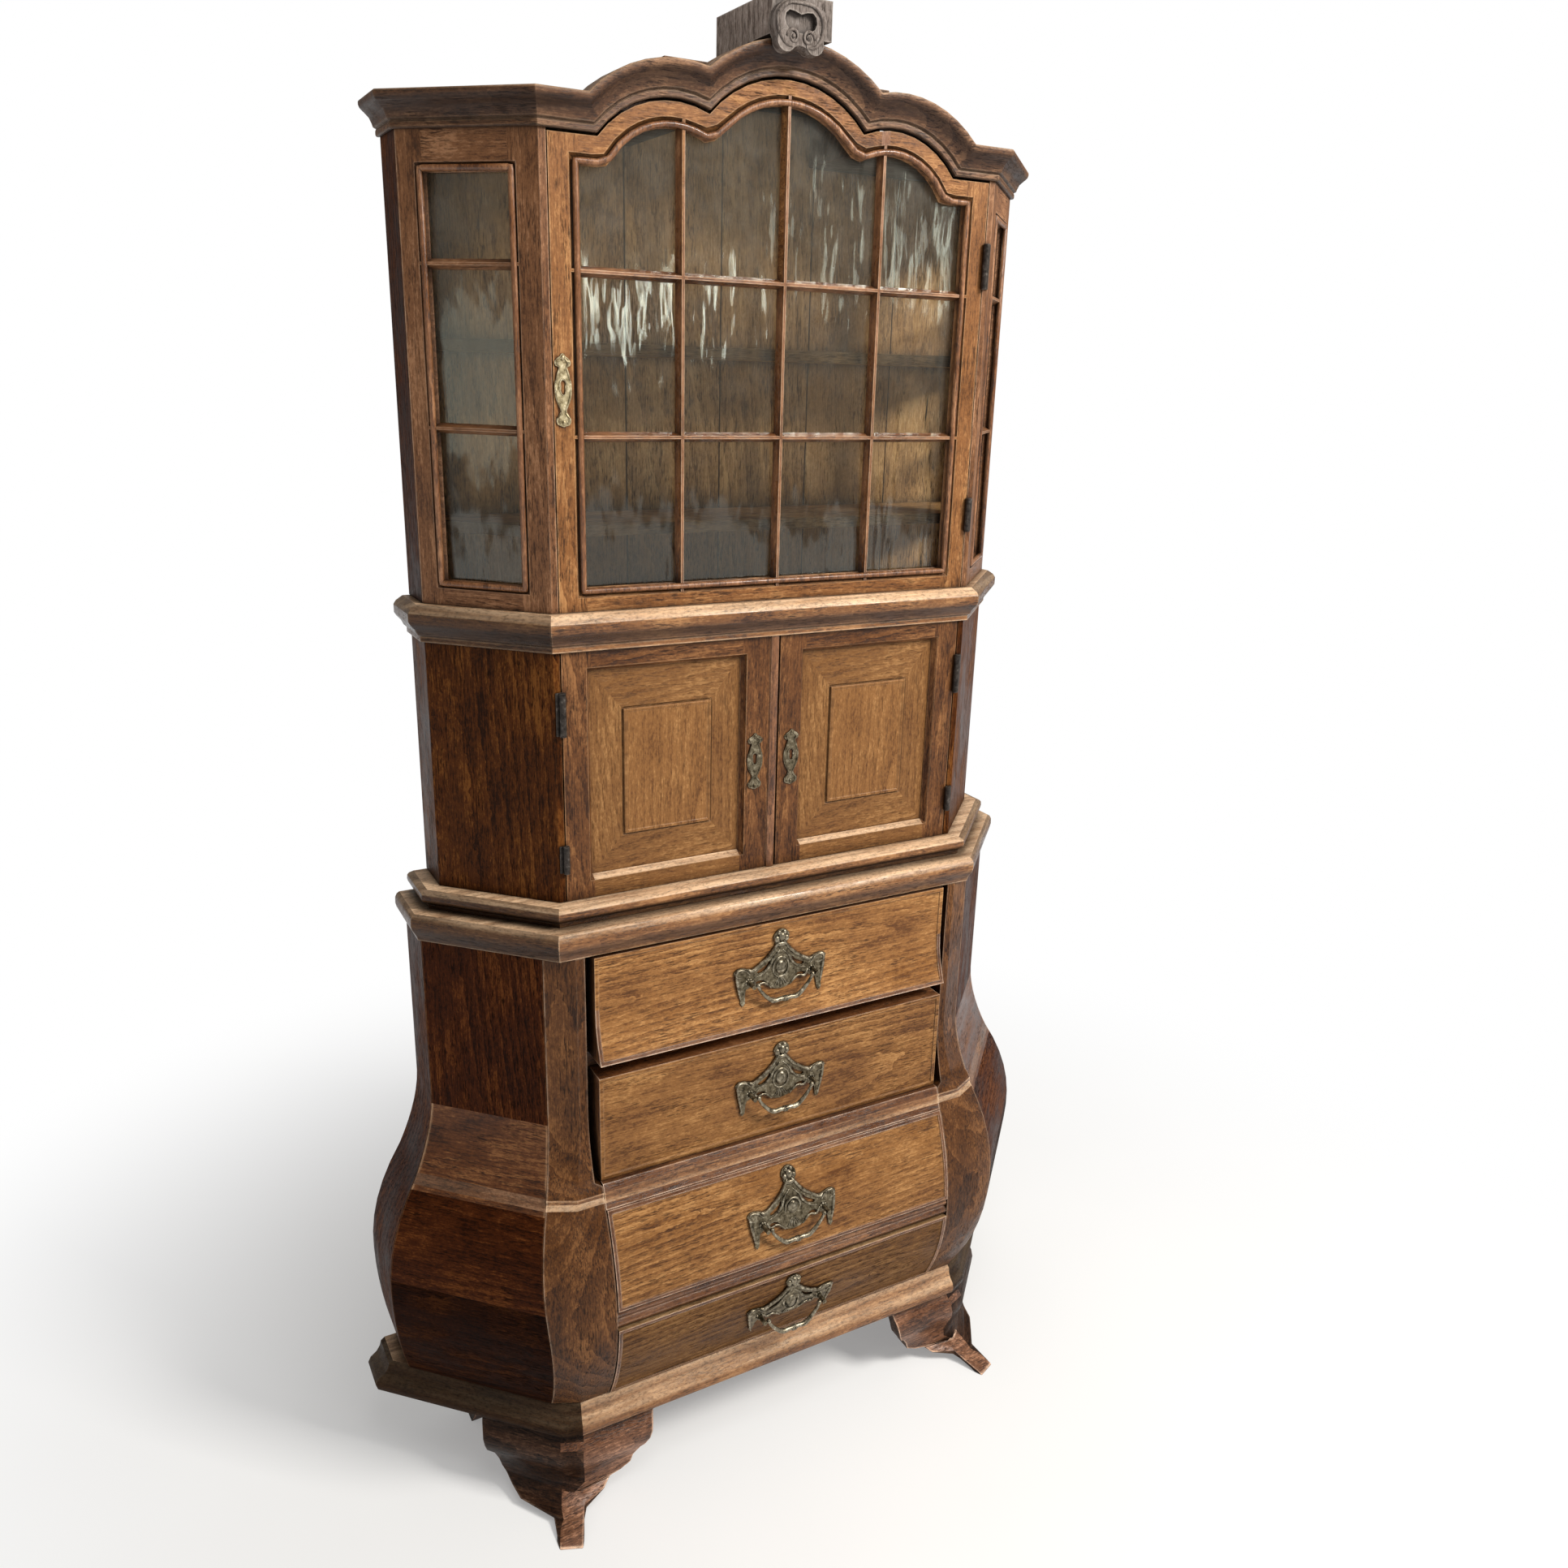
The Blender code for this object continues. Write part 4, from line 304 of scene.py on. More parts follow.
class Recipe:
    """A material's node tree, built one node at a time."""

    def __init__(self, name):
        self.material = bpy.data.materials.new(name)
        self.material.use_nodes = True
        self.tree = self.material.node_tree
        self.shader = self.tree.nodes["Principled BSDF"]

    def add(self, kind, inputs=(), **settings):
        return node_in(self.tree, "ShaderNode" + kind, inputs, **settings)

    def set(self, **values):
        for key, value in values.items():
            feed(self.tree, value, self.shader.inputs[key.replace("_", " ")])

    def show(self, surface):
        feed(self.tree, surface, self.tree.nodes["Material Output"].inputs["Surface"])

    def math(self, operation, first, second):
        return self.add("Math", {0: first, 1: second}, operation=operation).outputs[0]

    def times(self, first, second):
        return self.math("MULTIPLY", first, second)

    def scaled(self, vector, scale, turn=(0, 0, 0)):
        return self.add("Mapping", {"Vector": vector, "Scale": scale, "Rotation": turn}).outputs[0]

    def noise(self, vector, scale=1.0, detail=3.0, roughness=0.55):
        values = {"Vector": vector, "Scale": scale, "Detail": detail, "Roughness": roughness}
        return self.add("TexNoise", values).outputs["Fac"]

    def stretched(self, vector, scale, detail=4.0, roughness=0.65):
        """Noise that is drawn out by a scale for each direction."""
        return self.noise(self.scaled(vector, scale), 1.0, detail, roughness)

    def spread(self, value, low, high, to_low=0.0, to_high=1.0):
        values = {"Value": value, "From Min": low, "From Max": high, "To Min": to_low, "To Max": to_high}
        return self.add("MapRange", values, interpolation_type="SMOOTHSTEP").outputs[0]

    def blend(self, share, first, second):
        return self.add("Mix", {0: share, 6: first, 7: second}, data_type="RGBA").outputs[2]

    def ramp(self, value, *stops):
        made = self.add("ValToRGB", {"Fac": value})
        band = made.color_ramp
        band.interpolation = "EASE"
        while len(band.elements) < len(stops):
            band.elements.new(0.5)
        for element, (place, colour) in zip(band.elements, stops):
            element.position = place
            element.color = opaque(colour)
        return made.outputs[0]

    def bump(self, height, strength, distance):
        values = {"Height": height, "Strength": strength, "Distance": distance}
        return self.add("Bump", values).outputs[0]

    def edges(self, radius, reach):
        """(wear on outer edges, closeness of corners and hollows), each from 0 to 1. Wood darkens with the
        second as soiling and painted shade, metal as patina.
        """
        rounded = self.add("Bevel", {"Radius": radius}, samples=6).outputs[0]
        true = self.add("NewGeometry").outputs["Normal"]
        turned = self.add("VectorMath", {0: rounded, 1: true}, operation="DOT_PRODUCT")
        bent = self.spread(turned.outputs["Value"], 0.995, 0.86)
        open_share = self.add("AmbientOcclusion", {"Distance": reach}, samples=6).outputs["AO"]
        closeness = self.spread(open_share, 0.86, 0.35)
        clear = self.spread(open_share, 0.55, 0.9)
        return self.times(bent, clear), closeness


def opaque(colour):
    return (*colour, 1.0)


def tinted(colour, share):
    return tuple(value * share for value in colour)


def wood(
    name,
    grain,
    dark,
    mid,
    light,
    worn,
    wear=0.6,
    figure=0.3,
    rough=0.45,
    shine=0.25,
    edge_reach=0.003,
    weathered=0.0,
    contrast=1.0,
):
    """Aged oak with its fibres along grain: rings, fibres, open pores, worn edges, corners darkened as
    soiling and painted shade, and where asked, tops rubbed pale with a painted highlight and undersides
    painted dark as shade.

    Each board's attribute pith says where the middle of its tree lies, so that every board has
    a figure of its own.
    """
    made = Recipe(name)
    place = made.add("TexCoord").outputs["Object"]
    pith = made.add("Attribute", attribute_name="pith").outputs["Vector"]
    local = made.add("VectorMath", {0: place, 1: pith}, operation="SUBTRACT").outputs[0]
    turn = grain.rotation_difference(UPRIGHT).to_euler()
    board = made.scaled(local, (1, 1, 1), turn)
    sway = made.add("TexNoise", {"Vector": made.scaled(board, SWAY_SCALE), "Scale": 1.0, "Detail": 1.5})
    centred = made.add("VectorMath", {0: sway.outputs["Color"], 1: (0.5, 0.5, 0.5)}, operation="SUBTRACT")
    shift = made.add("VectorMath", {0: centred.outputs[0], "Scale": SWAY_REACH}, operation="SCALE")
    wavy = made.add("VectorMath", {0: board, 1: shift.outputs[0]}, operation="ADD").outputs[0]
    leaning = made.scaled(wavy, (1, 1, 1), RING_LEAN)
    rings = made.add(
        "TexWave",
        {"Vector": leaning, "Scale": RINGS_PER_METRE, "Distortion": 1.6, "Detail": 3.0, "Detail Scale": 2.2},
        wave_type="RINGS",
        rings_direction="Z",
        wave_profile="SAW",
    ).outputs["Fac"]
    fibres = made.stretched(wavy, FIBRE_SCALE, 6.0, 0.78)
    clouds = made.stretched(board, CLOUD_SCALE, 6.0, 0.68)
    dashes = made.stretched(wavy, PORE_SCALE, 3.0)
    spots = made.stretched(board, SPECKLE_SCALE, 5.0, 0.8)
    gathered = made.stretched(board, CROWD_SCALE)
    fades = made.spread(made.stretched(board, FADE_SCALE, 2.0, 0.55), 0.35, 0.65, 0.2, 1.0)
    ringed = made.times(made.math("SUBTRACT", rings, 0.5), made.times(fades, figure))
    streaks = made.times(made.math("SUBTRACT", fibres, 0.5), FIBRE_SHARE * contrast)
    shade = made.times(made.math("SUBTRACT", clouds, 0.5), CLOUD_SHARE * contrast)
    grains = made.times(made.math("SUBTRACT", spots, 0.5), SPECKLE_SHARE)
    tone = made.math("ADD", made.math("ADD", ringed, streaks), made.math("ADD", shade, grains))
    colour = made.ramp(made.math("ADD", tone, 0.5), (0.1, dark), (0.5, mid), (0.9, light))
    dark_ring = made.times(made.spread(rings, 0.95, 0.45), fades)
    crowd = made.math("MAXIMUM", made.spread(gathered, 0.42, 0.62), dark_ring)
    open_pores = made.times(made.spread(dashes, 0.5, 0.62), crowd)
    pore_share = made.times(open_pores, PORE_SHARE * contrast)
    colour = made.blend(pore_share, colour, opaque(tinted(dark, 0.4)))
    edge, corner = made.edges(edge_reach, GRIME_AND_SHADE_REACH)
    patches = made.stretched(place, PATCH_SCALE, 6.0, 0.75)
    # Upward faces rubbed pale and painted with a highlight, downward faces painted dark as shade
    if weathered:
        facing = made.add("NewGeometry").outputs["Normal"]
        rise = made.add("SeparateXYZ", {0: facing}).outputs["Z"]
        under = made.times(made.spread(rise, 0.0, -0.7), weathered)
        colour = made.blend(under, colour, opaque(tinted(dark, 0.4)))
        drawn = made.stretched(board, TOP_STREAK_SCALE, 4.0, 0.6)
        strokes = made.spread(drawn, 0.32, 0.68, 0.35, 1.0)
        upper = made.times(made.spread(rise, 0.05, 0.8), strokes)
        top_sheen_tone = made.ramp(spots, (0.36, tinted(worn, 0.48)), (0.54, worn))
        colour = made.blend(made.times(upper, weathered), colour, top_sheen_tone)
    rubbed = made.times(edge, made.spread(patches, 0.32, 0.62, 0.25, 1.0))
    colour = made.blend(made.times(rubbed, wear), colour, opaque(worn))
    # Corners and recesses darkened: soiling, and painted shade where shade falls
    grime_and_shade = made.times(corner, GRIME_AND_SHADE_SHARE)
    colour = made.blend(grime_and_shade, colour, opaque(tinted(dark, 0.15)))
    height = made.math("SUBTRACT", made.times(fibres, 0.6), open_pores)
    sheen = made.spread(clouds, 0.35, 0.65, rough - 0.08, rough + 0.14)
    made.set(
        Base_Color=colour,
        Specular_IOR_Level=shine,
        Roughness=made.math("ADD", sheen, made.times(open_pores, 0.25)),
        Normal=made.bump(height, 0.35, 0.0006),
    )
    return made.material


def metal(name, dark, mid, light, rough, full=0.85):
    """Old cast metal: patina in its hollows, rubbed bright on what stands out."""
    made = Recipe(name)
    place = made.add("TexCoord").outputs["Object"]
    mottle = made.noise(place, 160.0, 5.0, 0.65)
    grains = made.noise(place, 900.0, 3.0, 0.6)
    colour = made.ramp(mottle, (0.35, dark), (0.52, mid), (0.7, light))
    edge, corner = made.edges(0.0011, 0.006)
    colour = made.blend(made.times(edge, 0.75), colour, opaque(light))
    colour = made.blend(made.times(corner, 0.8), colour, opaque(tinted(dark, 0.4)))
    made.set(
        Base_Color=colour,
        Metallic=full,
        Roughness=made.spread(mottle, 0.3, 0.7, rough - 0.1, rough + 0.14),
        Normal=made.bump(made.math("ADD", mottle, grains), 0.3, 0.0004),
    )
    return made.material


def old_glass():
    """Hand-made panes: a little wavy, with a film of dust that grows towards the top."""
    made = Recipe("old_glass")
    place = made.add("TexCoord").outputs["Object"]
    waves = made.stretched(place, RIPPLE_SCALE, 3.0, 0.5)
    ripple = made.bump(waves, 0.5, 0.012)
    height = made.add("SeparateXYZ", {0: place}).outputs["Z"]
    film = made.spread(height, 1.45, 1.92, 0.008, 0.05)
    specks = made.spread(made.noise(place, 30.0, 6.0, 0.7), 0.35, 0.75, 0.6, 1.5)
    clear = made.add("BsdfTransparent", {"Color": (0.965, 0.965, 0.94, 1)}).outputs[0]
    mirrored = {"Color": (0.72, 0.74, 0.70, 1), "Roughness": 0.06, "Normal": ripple}
    shine = made.add("BsdfGlossy", mirrored).outputs[0]
    dust = made.add("BsdfDiffuse", {"Color": (0.62, 0.57, 0.48, 1)}).outputs[0]
    dusty = made.add("MixShader", {0: made.times(film, specks), 1: clear, 2: dust}).outputs[0]
    mirror = made.add("Fresnel", {"IOR": 1.5, "Normal": ripple}).outputs[0]
    made.show(made.add("MixShader", {0: mirror, 1: dusty, 2: shine}).outputs[0])
    made.tree.nodes.remove(made.shader)
    return made.material


# Wood tones as (dark, mid, light, worn edge).
GOLDEN = ((0.120, 0.042, 0.009), (0.275, 0.118, 0.032), (0.480, 0.240, 0.082), (0.62, 0.38, 0.20))
HONEY = ((0.085, 0.030, 0.007), (0.225, 0.088, 0.024), (0.410, 0.195, 0.068), (0.56, 0.35, 0.18))
FRAME = ((0.046, 0.015, 0.004), (0.124, 0.045, 0.012), (0.260, 0.112, 0.037), (0.48, 0.28, 0.14))
WINDOW = ((0.070, 0.026, 0.009), (0.175, 0.072, 0.027), (0.330, 0.160, 0.075), (0.56, 0.37, 0.24))
BAR = ((0.070, 0.024, 0.008), (0.190, 0.074, 0.026), (0.370, 0.175, 0.078), (0.66, 0.42, 0.26))
POST = ((0.036, 0.012, 0.003), (0.105, 0.037, 0.009), (0.230, 0.096, 0.030), (0.66, 0.46, 0.32))
SHADED = ((0.014, 0.0031, 0.0005), (0.046, 0.0105, 0.0019), (0.120, 0.036, 0.008), (0.36, 0.18, 0.08))
# The moulding's worn tone is edge wear, and also the painted highlight on moulding tops
MOULDED = ((0.066, 0.022, 0.006), (0.210, 0.083, 0.024), (0.395, 0.190, 0.070), (0.93, 0.64, 0.40))
BEAD = ((0.040, 0.013, 0.005), (0.125, 0.045, 0.014), (0.270, 0.120, 0.046), (0.82, 0.58, 0.42))
FADED = ((0.230, 0.118, 0.045), (0.480, 0.275, 0.118), (0.690, 0.440, 0.215), (0.66, 0.48, 0.30))
DUSKY = ((0.022, 0.0085, 0.0035), (0.078, 0.033, 0.014), (0.185, 0.092, 0.045), (0.36, 0.22, 0.13))
RIDGE = ((0.040, 0.013, 0.004), (0.130, 0.046, 0.014), (0.290, 0.130, 0.055), (0.62, 0.42, 0.28))
# A lighter copy of the cant's wood for the slope above the crease: rubbed, and painted light where it tilts
# upwards
SCUFFED_AND_LIT = ((0.030, 0.009, 0.002), (0.095, 0.030, 0.008), (0.220, 0.090, 0.030), (0.52, 0.32, 0.18))
GREYED = ((0.090, 0.064, 0.050), (0.235, 0.188, 0.160), (0.390, 0.335, 0.300), (0.55, 0.48, 0.42))
# A darker copy of the oak for the cupboard sides: painted shade
SIDE = ((0.018, 0.0048, 0.0007), (0.068, 0.0185, 0.0028), (0.160, 0.056, 0.011), (0.38, 0.20, 0.09))
CORNICE = ((0.034, 0.0125, 0.0045), (0.112, 0.047, 0.019), (0.250, 0.125, 0.060), (0.52, 0.34, 0.21))
FOOT = ((0.018, 0.0062, 0.0028), (0.075, 0.031, 0.0145), (0.210, 0.104, 0.058), (0.60, 0.40, 0.28))
# Each drawer's oak darkened to a share as painted shade, most on the lowest drawer, which faces down
DRAWER_SHADE_SHARES = {1: 1.0, 2: 0.86, 3: 0.9, 4: 0.5}


def deeper(tones, share):
    """The same wood tones, each darkened to that share."""
    return tuple(tinted(tone, share) for tone in tones)


def kinds(name, tones, grains, **more):
    """The same wood cut with its fibres along each of the directions in grains."""
    return {key: wood(f"{name}_{key}", grain, *tones, **more) for key, grain in grains.items()}


SQUARE = {"upright": UPRIGHT, "along": ALONG}
CANTED = {"upright": UPRIGHT, "left": Vector((-1, 1, 0)), "right": Vector((1, 1, 0))}
INSIDE = {"upright": UPRIGHT, "along": ALONG, "deep": DEEP}
fielded = kinds("field_oak", deeper(GOLDEN, 0.82), SQUARE, figure=0.2, wear=0.9, contrast=0.6)
bordered = kinds("border_oak", deeper(GOLDEN, 0.72), SQUARE, figure=0.2, wear=0.8, contrast=0.6)
drawer_wood = {}
for number, share in DRAWER_SHADE_SHARES.items():
    shine = 0.25 * share
    tones = deeper(GOLDEN, share)
    drawer_wood[number] = wood(f"drawer_{number}_oak", ALONG, *tones, figure=0.42, wear=0.8, shine=shine)
honey = kinds("honey_oak", HONEY, SQUARE, wear=0.7)
framing = kinds("frame_oak", FRAME, SQUARE, wear=0.7)
bars = kinds("bar_oak", BAR, SQUARE, wear=0.9, rough=0.3, shine=0.5)
window_wood = kinds("window_oak", WINDOW, CANTED, wear=0.8)
posts = kinds("post_oak", deeper(POST, 0.86), SQUARE, wear=0.45, rough=0.4, shine=0.2, edge_reach=0.005)
# The cupboard sides' wood, darkened as painted shade
sided_shaded = kinds("side_shaded_oak", SIDE, CANTED, wear=0.5, rough=0.42, shine=0.06)
shaded = kinds("shaded_oak", SHADED, CANTED, wear=0.5, rough=0.45, shine=0.04)
# A darker copy of the cant's wood for below its lowest seam: painted shade
shaded_below = kinds("shaded_below_oak", deeper(SHADED, 0.42), CANTED, wear=0.4, rough=0.5, shine=0.02)
ridge_tones = deeper(RIDGE, 0.8)
# The cant's crease: rubbed, with a painted highlight
ridge_rubbed_and_lit = kinds("ridge_oak", ridge_tones, CANTED, wear=0.5, rough=0.36, shine=0.25, weathered=0.3)
scuffed_and_lit = kinds("scuffed_and_lit_oak", SCUFFED_AND_LIT, CANTED, wear=0.8, rough=0.36, shine=0.2, edge_reach=0.008)
moulded = kinds("moulding_oak", MOULDED, SQUARE, shine=0.45, **MOULDING_WEAR_AND_LIGHT)
# Darker copies of the moulding for its lengths on the cants: painted shade, darkest on the plinth
mitred = kinds("mitred_shaded_oak", deeper(MOULDED, 0.4), CANTED, shine=0.25, **MOULDING_WEAR_AND_LIGHT)
mitred_shaded_low = kinds("mitred_shaded_low_oak", deeper(MOULDED, 0.13), CANTED, shine=0.06, **MOULDING_WEAR_AND_LIGHT)
beaded = kinds("bead_oak", BEAD, SQUARE, wear=1.0, figure=0.1, rough=0.33, shine=0.5, edge_reach=0.0035)
faded = kinds("faded_oak", FADED, INSIDE, wear=0.4, rough=0.7)
carved = kinds("carved_oak", deeper(GREYED, 0.7), SQUARE, wear=0.6, rough=0.6, edge_reach=0.004)
block_wood = kinds("block_oak", deeper(GREYED, 1.5), SQUARE, wear=0.5, rough=0.65, edge_reach=0.004)
corniced = kinds("cornice_oak", CORNICE, SQUARE, shine=0.35, **CORNICE_WEAR_AND_LIGHT)
# A darker copy of the cornice for its lengths on the cants: painted shade
corniced_cant_shaded = kinds("cornice_cant_shaded_oak", deeper(CORNICE, 0.8), CANTED, **CORNICE_WEAR_AND_LIGHT)
dusky = kinds("dusky_oak", DUSKY, INSIDE, wear=0.7, edge_reach=0.005, weathered=0.85)
# Lit and shaded copies of the foot's wood: the front wing painted light, the wing under the cant painted
# shade
lit_foot_tones = deeper(FOOT, 2.2)
footed_lit = kinds("foot_lit_oak", lit_foot_tones, SQUARE, wear=0.8, rough=0.34, figure=0.15, shine=0.4, edge_reach=0.006)
shaded_foot_tones = deeper(FOOT, 0.45)
foot_cant_shaded = kinds("foot_cant_shaded_oak", shaded_foot_tones, CANTED, wear=0.8, rough=0.4, shine=0.15, edge_reach=0.004)
bronze = metal("bronze", (0.045, 0.034, 0.018), (0.155, 0.125, 0.078), (0.40, 0.35, 0.25), 0.44)
# A lighter copy of the bronze for the raised work and the bails: painted highlight
highlit_bronze = metal("highlit_bronze", (0.075, 0.062, 0.042), (0.235, 0.20, 0.14), (0.60, 0.54, 0.42), 0.32)
brass = metal("brass", (0.20, 0.15, 0.075), (0.45, 0.37, 0.22), (0.72, 0.64, 0.45), 0.38)
iron = metal("iron", (0.015, 0.012, 0.010), (0.045, 0.036, 0.030), (0.14, 0.12, 0.105), 0.55, 0.7)
glass = old_glass()


def mesh_of(shape, name):
    """A mesh made of a bmesh, which is used up."""
    mesh = bpy.data.meshes.new(name)
    shape.to_mesh(mesh)
    shape.free()
    return mesh


def linked(name, data):
    """An object of data, linked to the scene."""
    made = bpy.data.objects.new(name, data)
    bpy.context.scene.collection.objects.link(made)
    return made


def merged(node):
    """A CAD node's loose triangles as one closed bmesh, its flat faces joined."""
    shape = bmesh.new()
    shape.from_mesh(frame["nodes"][node].data)
    bmesh.ops.remove_doubles(shape, verts=shape.verts, dist=WELD)
    bmesh.ops.dissolve_limit(
        shape, angle_limit=FLAT_ANGLE, verts=shape.verts, edges=shape.edges, use_dissolve_boundaries=False
    )
    return shape


def cut(shape, point, normal):
    """Splits the faces of shape along a plane, so that boards that meet there can differ."""
    geometry = shape.verts[:] + shape.edges[:] + shape.faces[:]
    bmesh.ops.bisect_plane(shape, geom=geometry, dist=WELD, plane_co=point, plane_no=normal)


def finished(shape, name, boards, soft=SOFT_ANGLE):
    """An object of a bmesh. boards(middle, normal) gives a face's material and where its pith lies."""
    for edge in shape.edges:
        edge.smooth = len(edge.link_faces) == 2 and edge.calc_face_angle(0) < soft
    for face in shape.faces:
        face.smooth = True
    pith = shape.faces.layers.float_vector.new("pith")
    materials = []
    for face in shape.faces:
        material, centre = boards(face.calc_center_median(), face.normal)
        if material not in materials:
            materials.append(material)
        face.material_index = materials.index(material)
        face[pith] = Vector(centre)
    mesh = mesh_of(shape, name)
    for material in materials:
        mesh.materials.append(material)
    return linked(name, mesh)


def rounded(made, width):
    """Gives an object's sharp edges a small round."""
    bevel = made.modifiers.new("rounded", "BEVEL")
    bevel.width = width
    bevel.segments = 2
    bevel.limit_method = "ANGLE"
    bevel.angle_limit = SOFT_ANGLE
    bevel.harden_normals = True
    bevel.use_clamp_overlap = True
    return made


def body_of(node):
    """The name of the body that a CAD node belongs to."""
    holder = frame["nodes"][node].parent
    return next(name for name, empty in frame["bodies"].items() if empty == holder)


def settled(made, node, stands_for=True):
    """Ties an object to the body of a CAD node, which it stands for unless told otherwise."""
    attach(made, body_of(node))
    if stands_for:
        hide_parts(node)


def dress(node, slot, boards, cuts=(), width=EDGE_ROUND, soft=SOFT_ANGLE):
    """The dressed piece that stands for a CAD node."""
    shape = merged(node)
    for point, normal in cuts:
        cut(shape, point, normal)
    made = finished(shape, f"{node}_dressed", boards, soft)
    if width:
        rounded(made, width)
    settled(made, node)


def middle(node):
    low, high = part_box(node)
    return (low + high) / 2


def tree_of(board, sign=1):
    """Where the middle of a named board's tree lies, on the left with sign -1."""
    x, y, z = TREES[board]
    return sign * x, y, z


def one_board(material, pith):
    """A rule that gives every face the same material and tree."""
    return lambda place, facing: (material, pith)


def plain(node, slot, material, **more):
    """A node made of one board or one metal."""
    dress(node, slot, one_board(material, middle(node) + Vector(BOARD_TREE)), **more)


def along_cant(place):
    """How far a place lies along the cant from the front corner, in metres."""
    return (abs(place.x) - FRONT_HALF) * math.sqrt(2)


def skin_of(node, within=1.0):
    """A function from a height to how far forward the front of a CAD node reaches there.

    Only what lies within that distance of the middle plane is read.
    """
    fronts = {}
    for vertex in frame["nodes"][node].data.vertices:
        if abs(vertex.co.x) > within:
            continue
        key = round(vertex.co.z, 3)
        fronts[key] = min(fronts.get(key, 1.0), vertex.co.y)
    heights = sorted(fronts)

    def skin(height):
        below = max((z for z in heights if z <= height), default=heights[0])
        above = min((z for z in heights if z >= height), default=heights[-1])
        share = (height - below) / (above - below) if above > below else 0.0
        return fronts[below] * (1 - share) + fronts[above] * share

    return skin


def dress_drawer(number):
    """A drawer: a figured front with fibres from side to side, and a paler box behind it."""
    node = f"drawer_{number}"
    skin = skin_of(node)
    low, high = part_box(node)
    height = (low.z + high.z) / 2
    pith = Vector((0, skin(height), height)) + Vector(DRAWER_TREES[number])

    def boards(place, facing):
        if place.y < skin(place.z) + DRAWER_FRONT_THICK:
            if abs(place.x) > high.x - BEAD_WIDE:
                return beaded["upright"], (place.x * 1.1, 0.1, 0.5)
            if not low.z + BEAD_WIDE < place.z < high.z - BEAD_WIDE:
                return beaded["along"], (0.2, 0.1, place.z + 0.05)
            return drawer_wood[number], pith
        if abs(place.x) > high.x - DRAWER_SIDE_THICK:
            return faded["deep"], (place.x * 1.4, 0.3, low.z)
        return faded["along"], (0.1, 0.35, low.z - 0.05)

    dress(node, "oak_golden", boards, width=0.0012)


def dress_glazed_frame():
    """The glazed door: stiles and upright bars run through, rails and cross bars lie between."""
    cuts = [((x, 0, 0), ALONG) for x in (-DOOR_GLASS_HALF, DOOR_GLASS_HALF)]
    for x in MUNTIN_XS:
        cuts += [((x - MUNTIN_HALF, 0, 0), ALONG), ((x + MUNTIN_HALF, 0, 0), ALONG)]

    def boards(place, facing):
        if abs(place.x) > DOOR_GLASS_HALF:
            return honey["upright"], tree_of("door_stile", math.copysign(1, place.x))
        for x in MUNTIN_XS:
            if abs(place.x - x) < MUNTIN_HALF and UPRIGHT_BARS[0] < place.z < UPRIGHT_BARS[1]:
                return bars["upright"], (x + 0.02, 0.03, 1.5)
        if CROSS_BARS[0] < place.z < CROSS_BARS[1]:
            return bars["along"], (0.3, 0.02, round(place.z, 1))
        return honey["along"], tree_of("door_rail_lower" if place.z < DOOR_MIDDLE else "door_rail_upper")

    dress("glazed_door_frame", "oak", boards, cuts, width=0.0008)


def dress_window_frame(side):
    """A canted window's frame, its stiles upright and its rails along the cant."""
    sign = SIDES[side]
    outward = Vector((sign, 1, 0)).normalized()
    corner = Vector((sign * FRONT_HALF, FRONT_Y, 0))
    cuts = [(corner + outward * reach, outward) for reach in (WINDOW_START, WINDOW_END)]

    def boards(place, facing):
        reach = along_cant(place)
        if reach < WINDOW_START or reach > WINDOW_END:
            return window_wood["upright"], (sign * (0.3 + reach), 0.02, 1.6)
        rail = "window_rail_lower" if place.z < WINDOW_MIDDLE else "window_rail_upper"
        return window_wood[side], tree_of(rail, sign)

    dress(f"window_frame_{side}", "oak", boards, cuts, width=0.0008)


def dress_cupboard_door(side):
    """A cupboard door: stiles run through, rails lie between them round the panel."""
    sign = SIDES[side]
    cuts = [((sign * x, 0, 0), ALONG) for x in (PANEL_INNER, PANEL_OUTER)]

    def boards(place, facing):
        if place.y < FRONT_Y - MEETING_BEAD_TOUCH:
            return bars["upright"], tree_of("meeting_bead")
        if abs(place.x) < PANEL_INNER:
            return framing["upright"], tree_of("meeting_stile", sign)
        if abs(place.x) > PANEL_OUTER:
            return framing["upright"], tree_of("hanging_stile", sign)
        if place.z > PANEL_SILL_TOP:
            return framing["along"], tree_of("panel_rail_upper", sign)
        # The sill's upward slope takes the pale moulding wood: rubbed, with a painted highlight
        kind = moulded if facing.z > SILL_UPWARD else bordered
        return kind["along"], tree_of("panel_rail_lower", sign)

    dress(f"cupboard_door_{side}", "oak", boards, cuts)
    dress_panel(side)


def dress_post(side):
    """A corner post, rubbed pale and painted with a highlight where its crease stands out."""
    sign = SIDES[side]

    def boards(place, facing):
        if CREASE_BAND[0] < place.z < CREASE_BAND[1]:
            return moulded["along"], tree_of("post_crease", sign)
        part = "post_upper" if place.z > CREASE_BAND[0] else "post_lower"
        return posts["upright"], tree_of(part, sign)

    cuts = [((0, 0, z), UPRIGHT) for z in CREASE_BAND]
    dress(f"corner_post_{side}", "oak", boards, cuts, soft=CURVE_SOFT)


def dress_crease_rail():
    """The rail that turns from the straight front to the belly, rubbed pale and painted with a highlight
    along its ridge.
    """

    def boards(place, facing):
        if CREASE_BAND[0] < place.z < CREASE_BAND[1]:
            return moulded["along"], tree_of("rail_ridge")
        return beaded["along"], tree_of("rail_crease")

    dress("rail_crease", "oak", boards, [((0, 0, z), UPRIGHT) for z in CREASE_BAND])


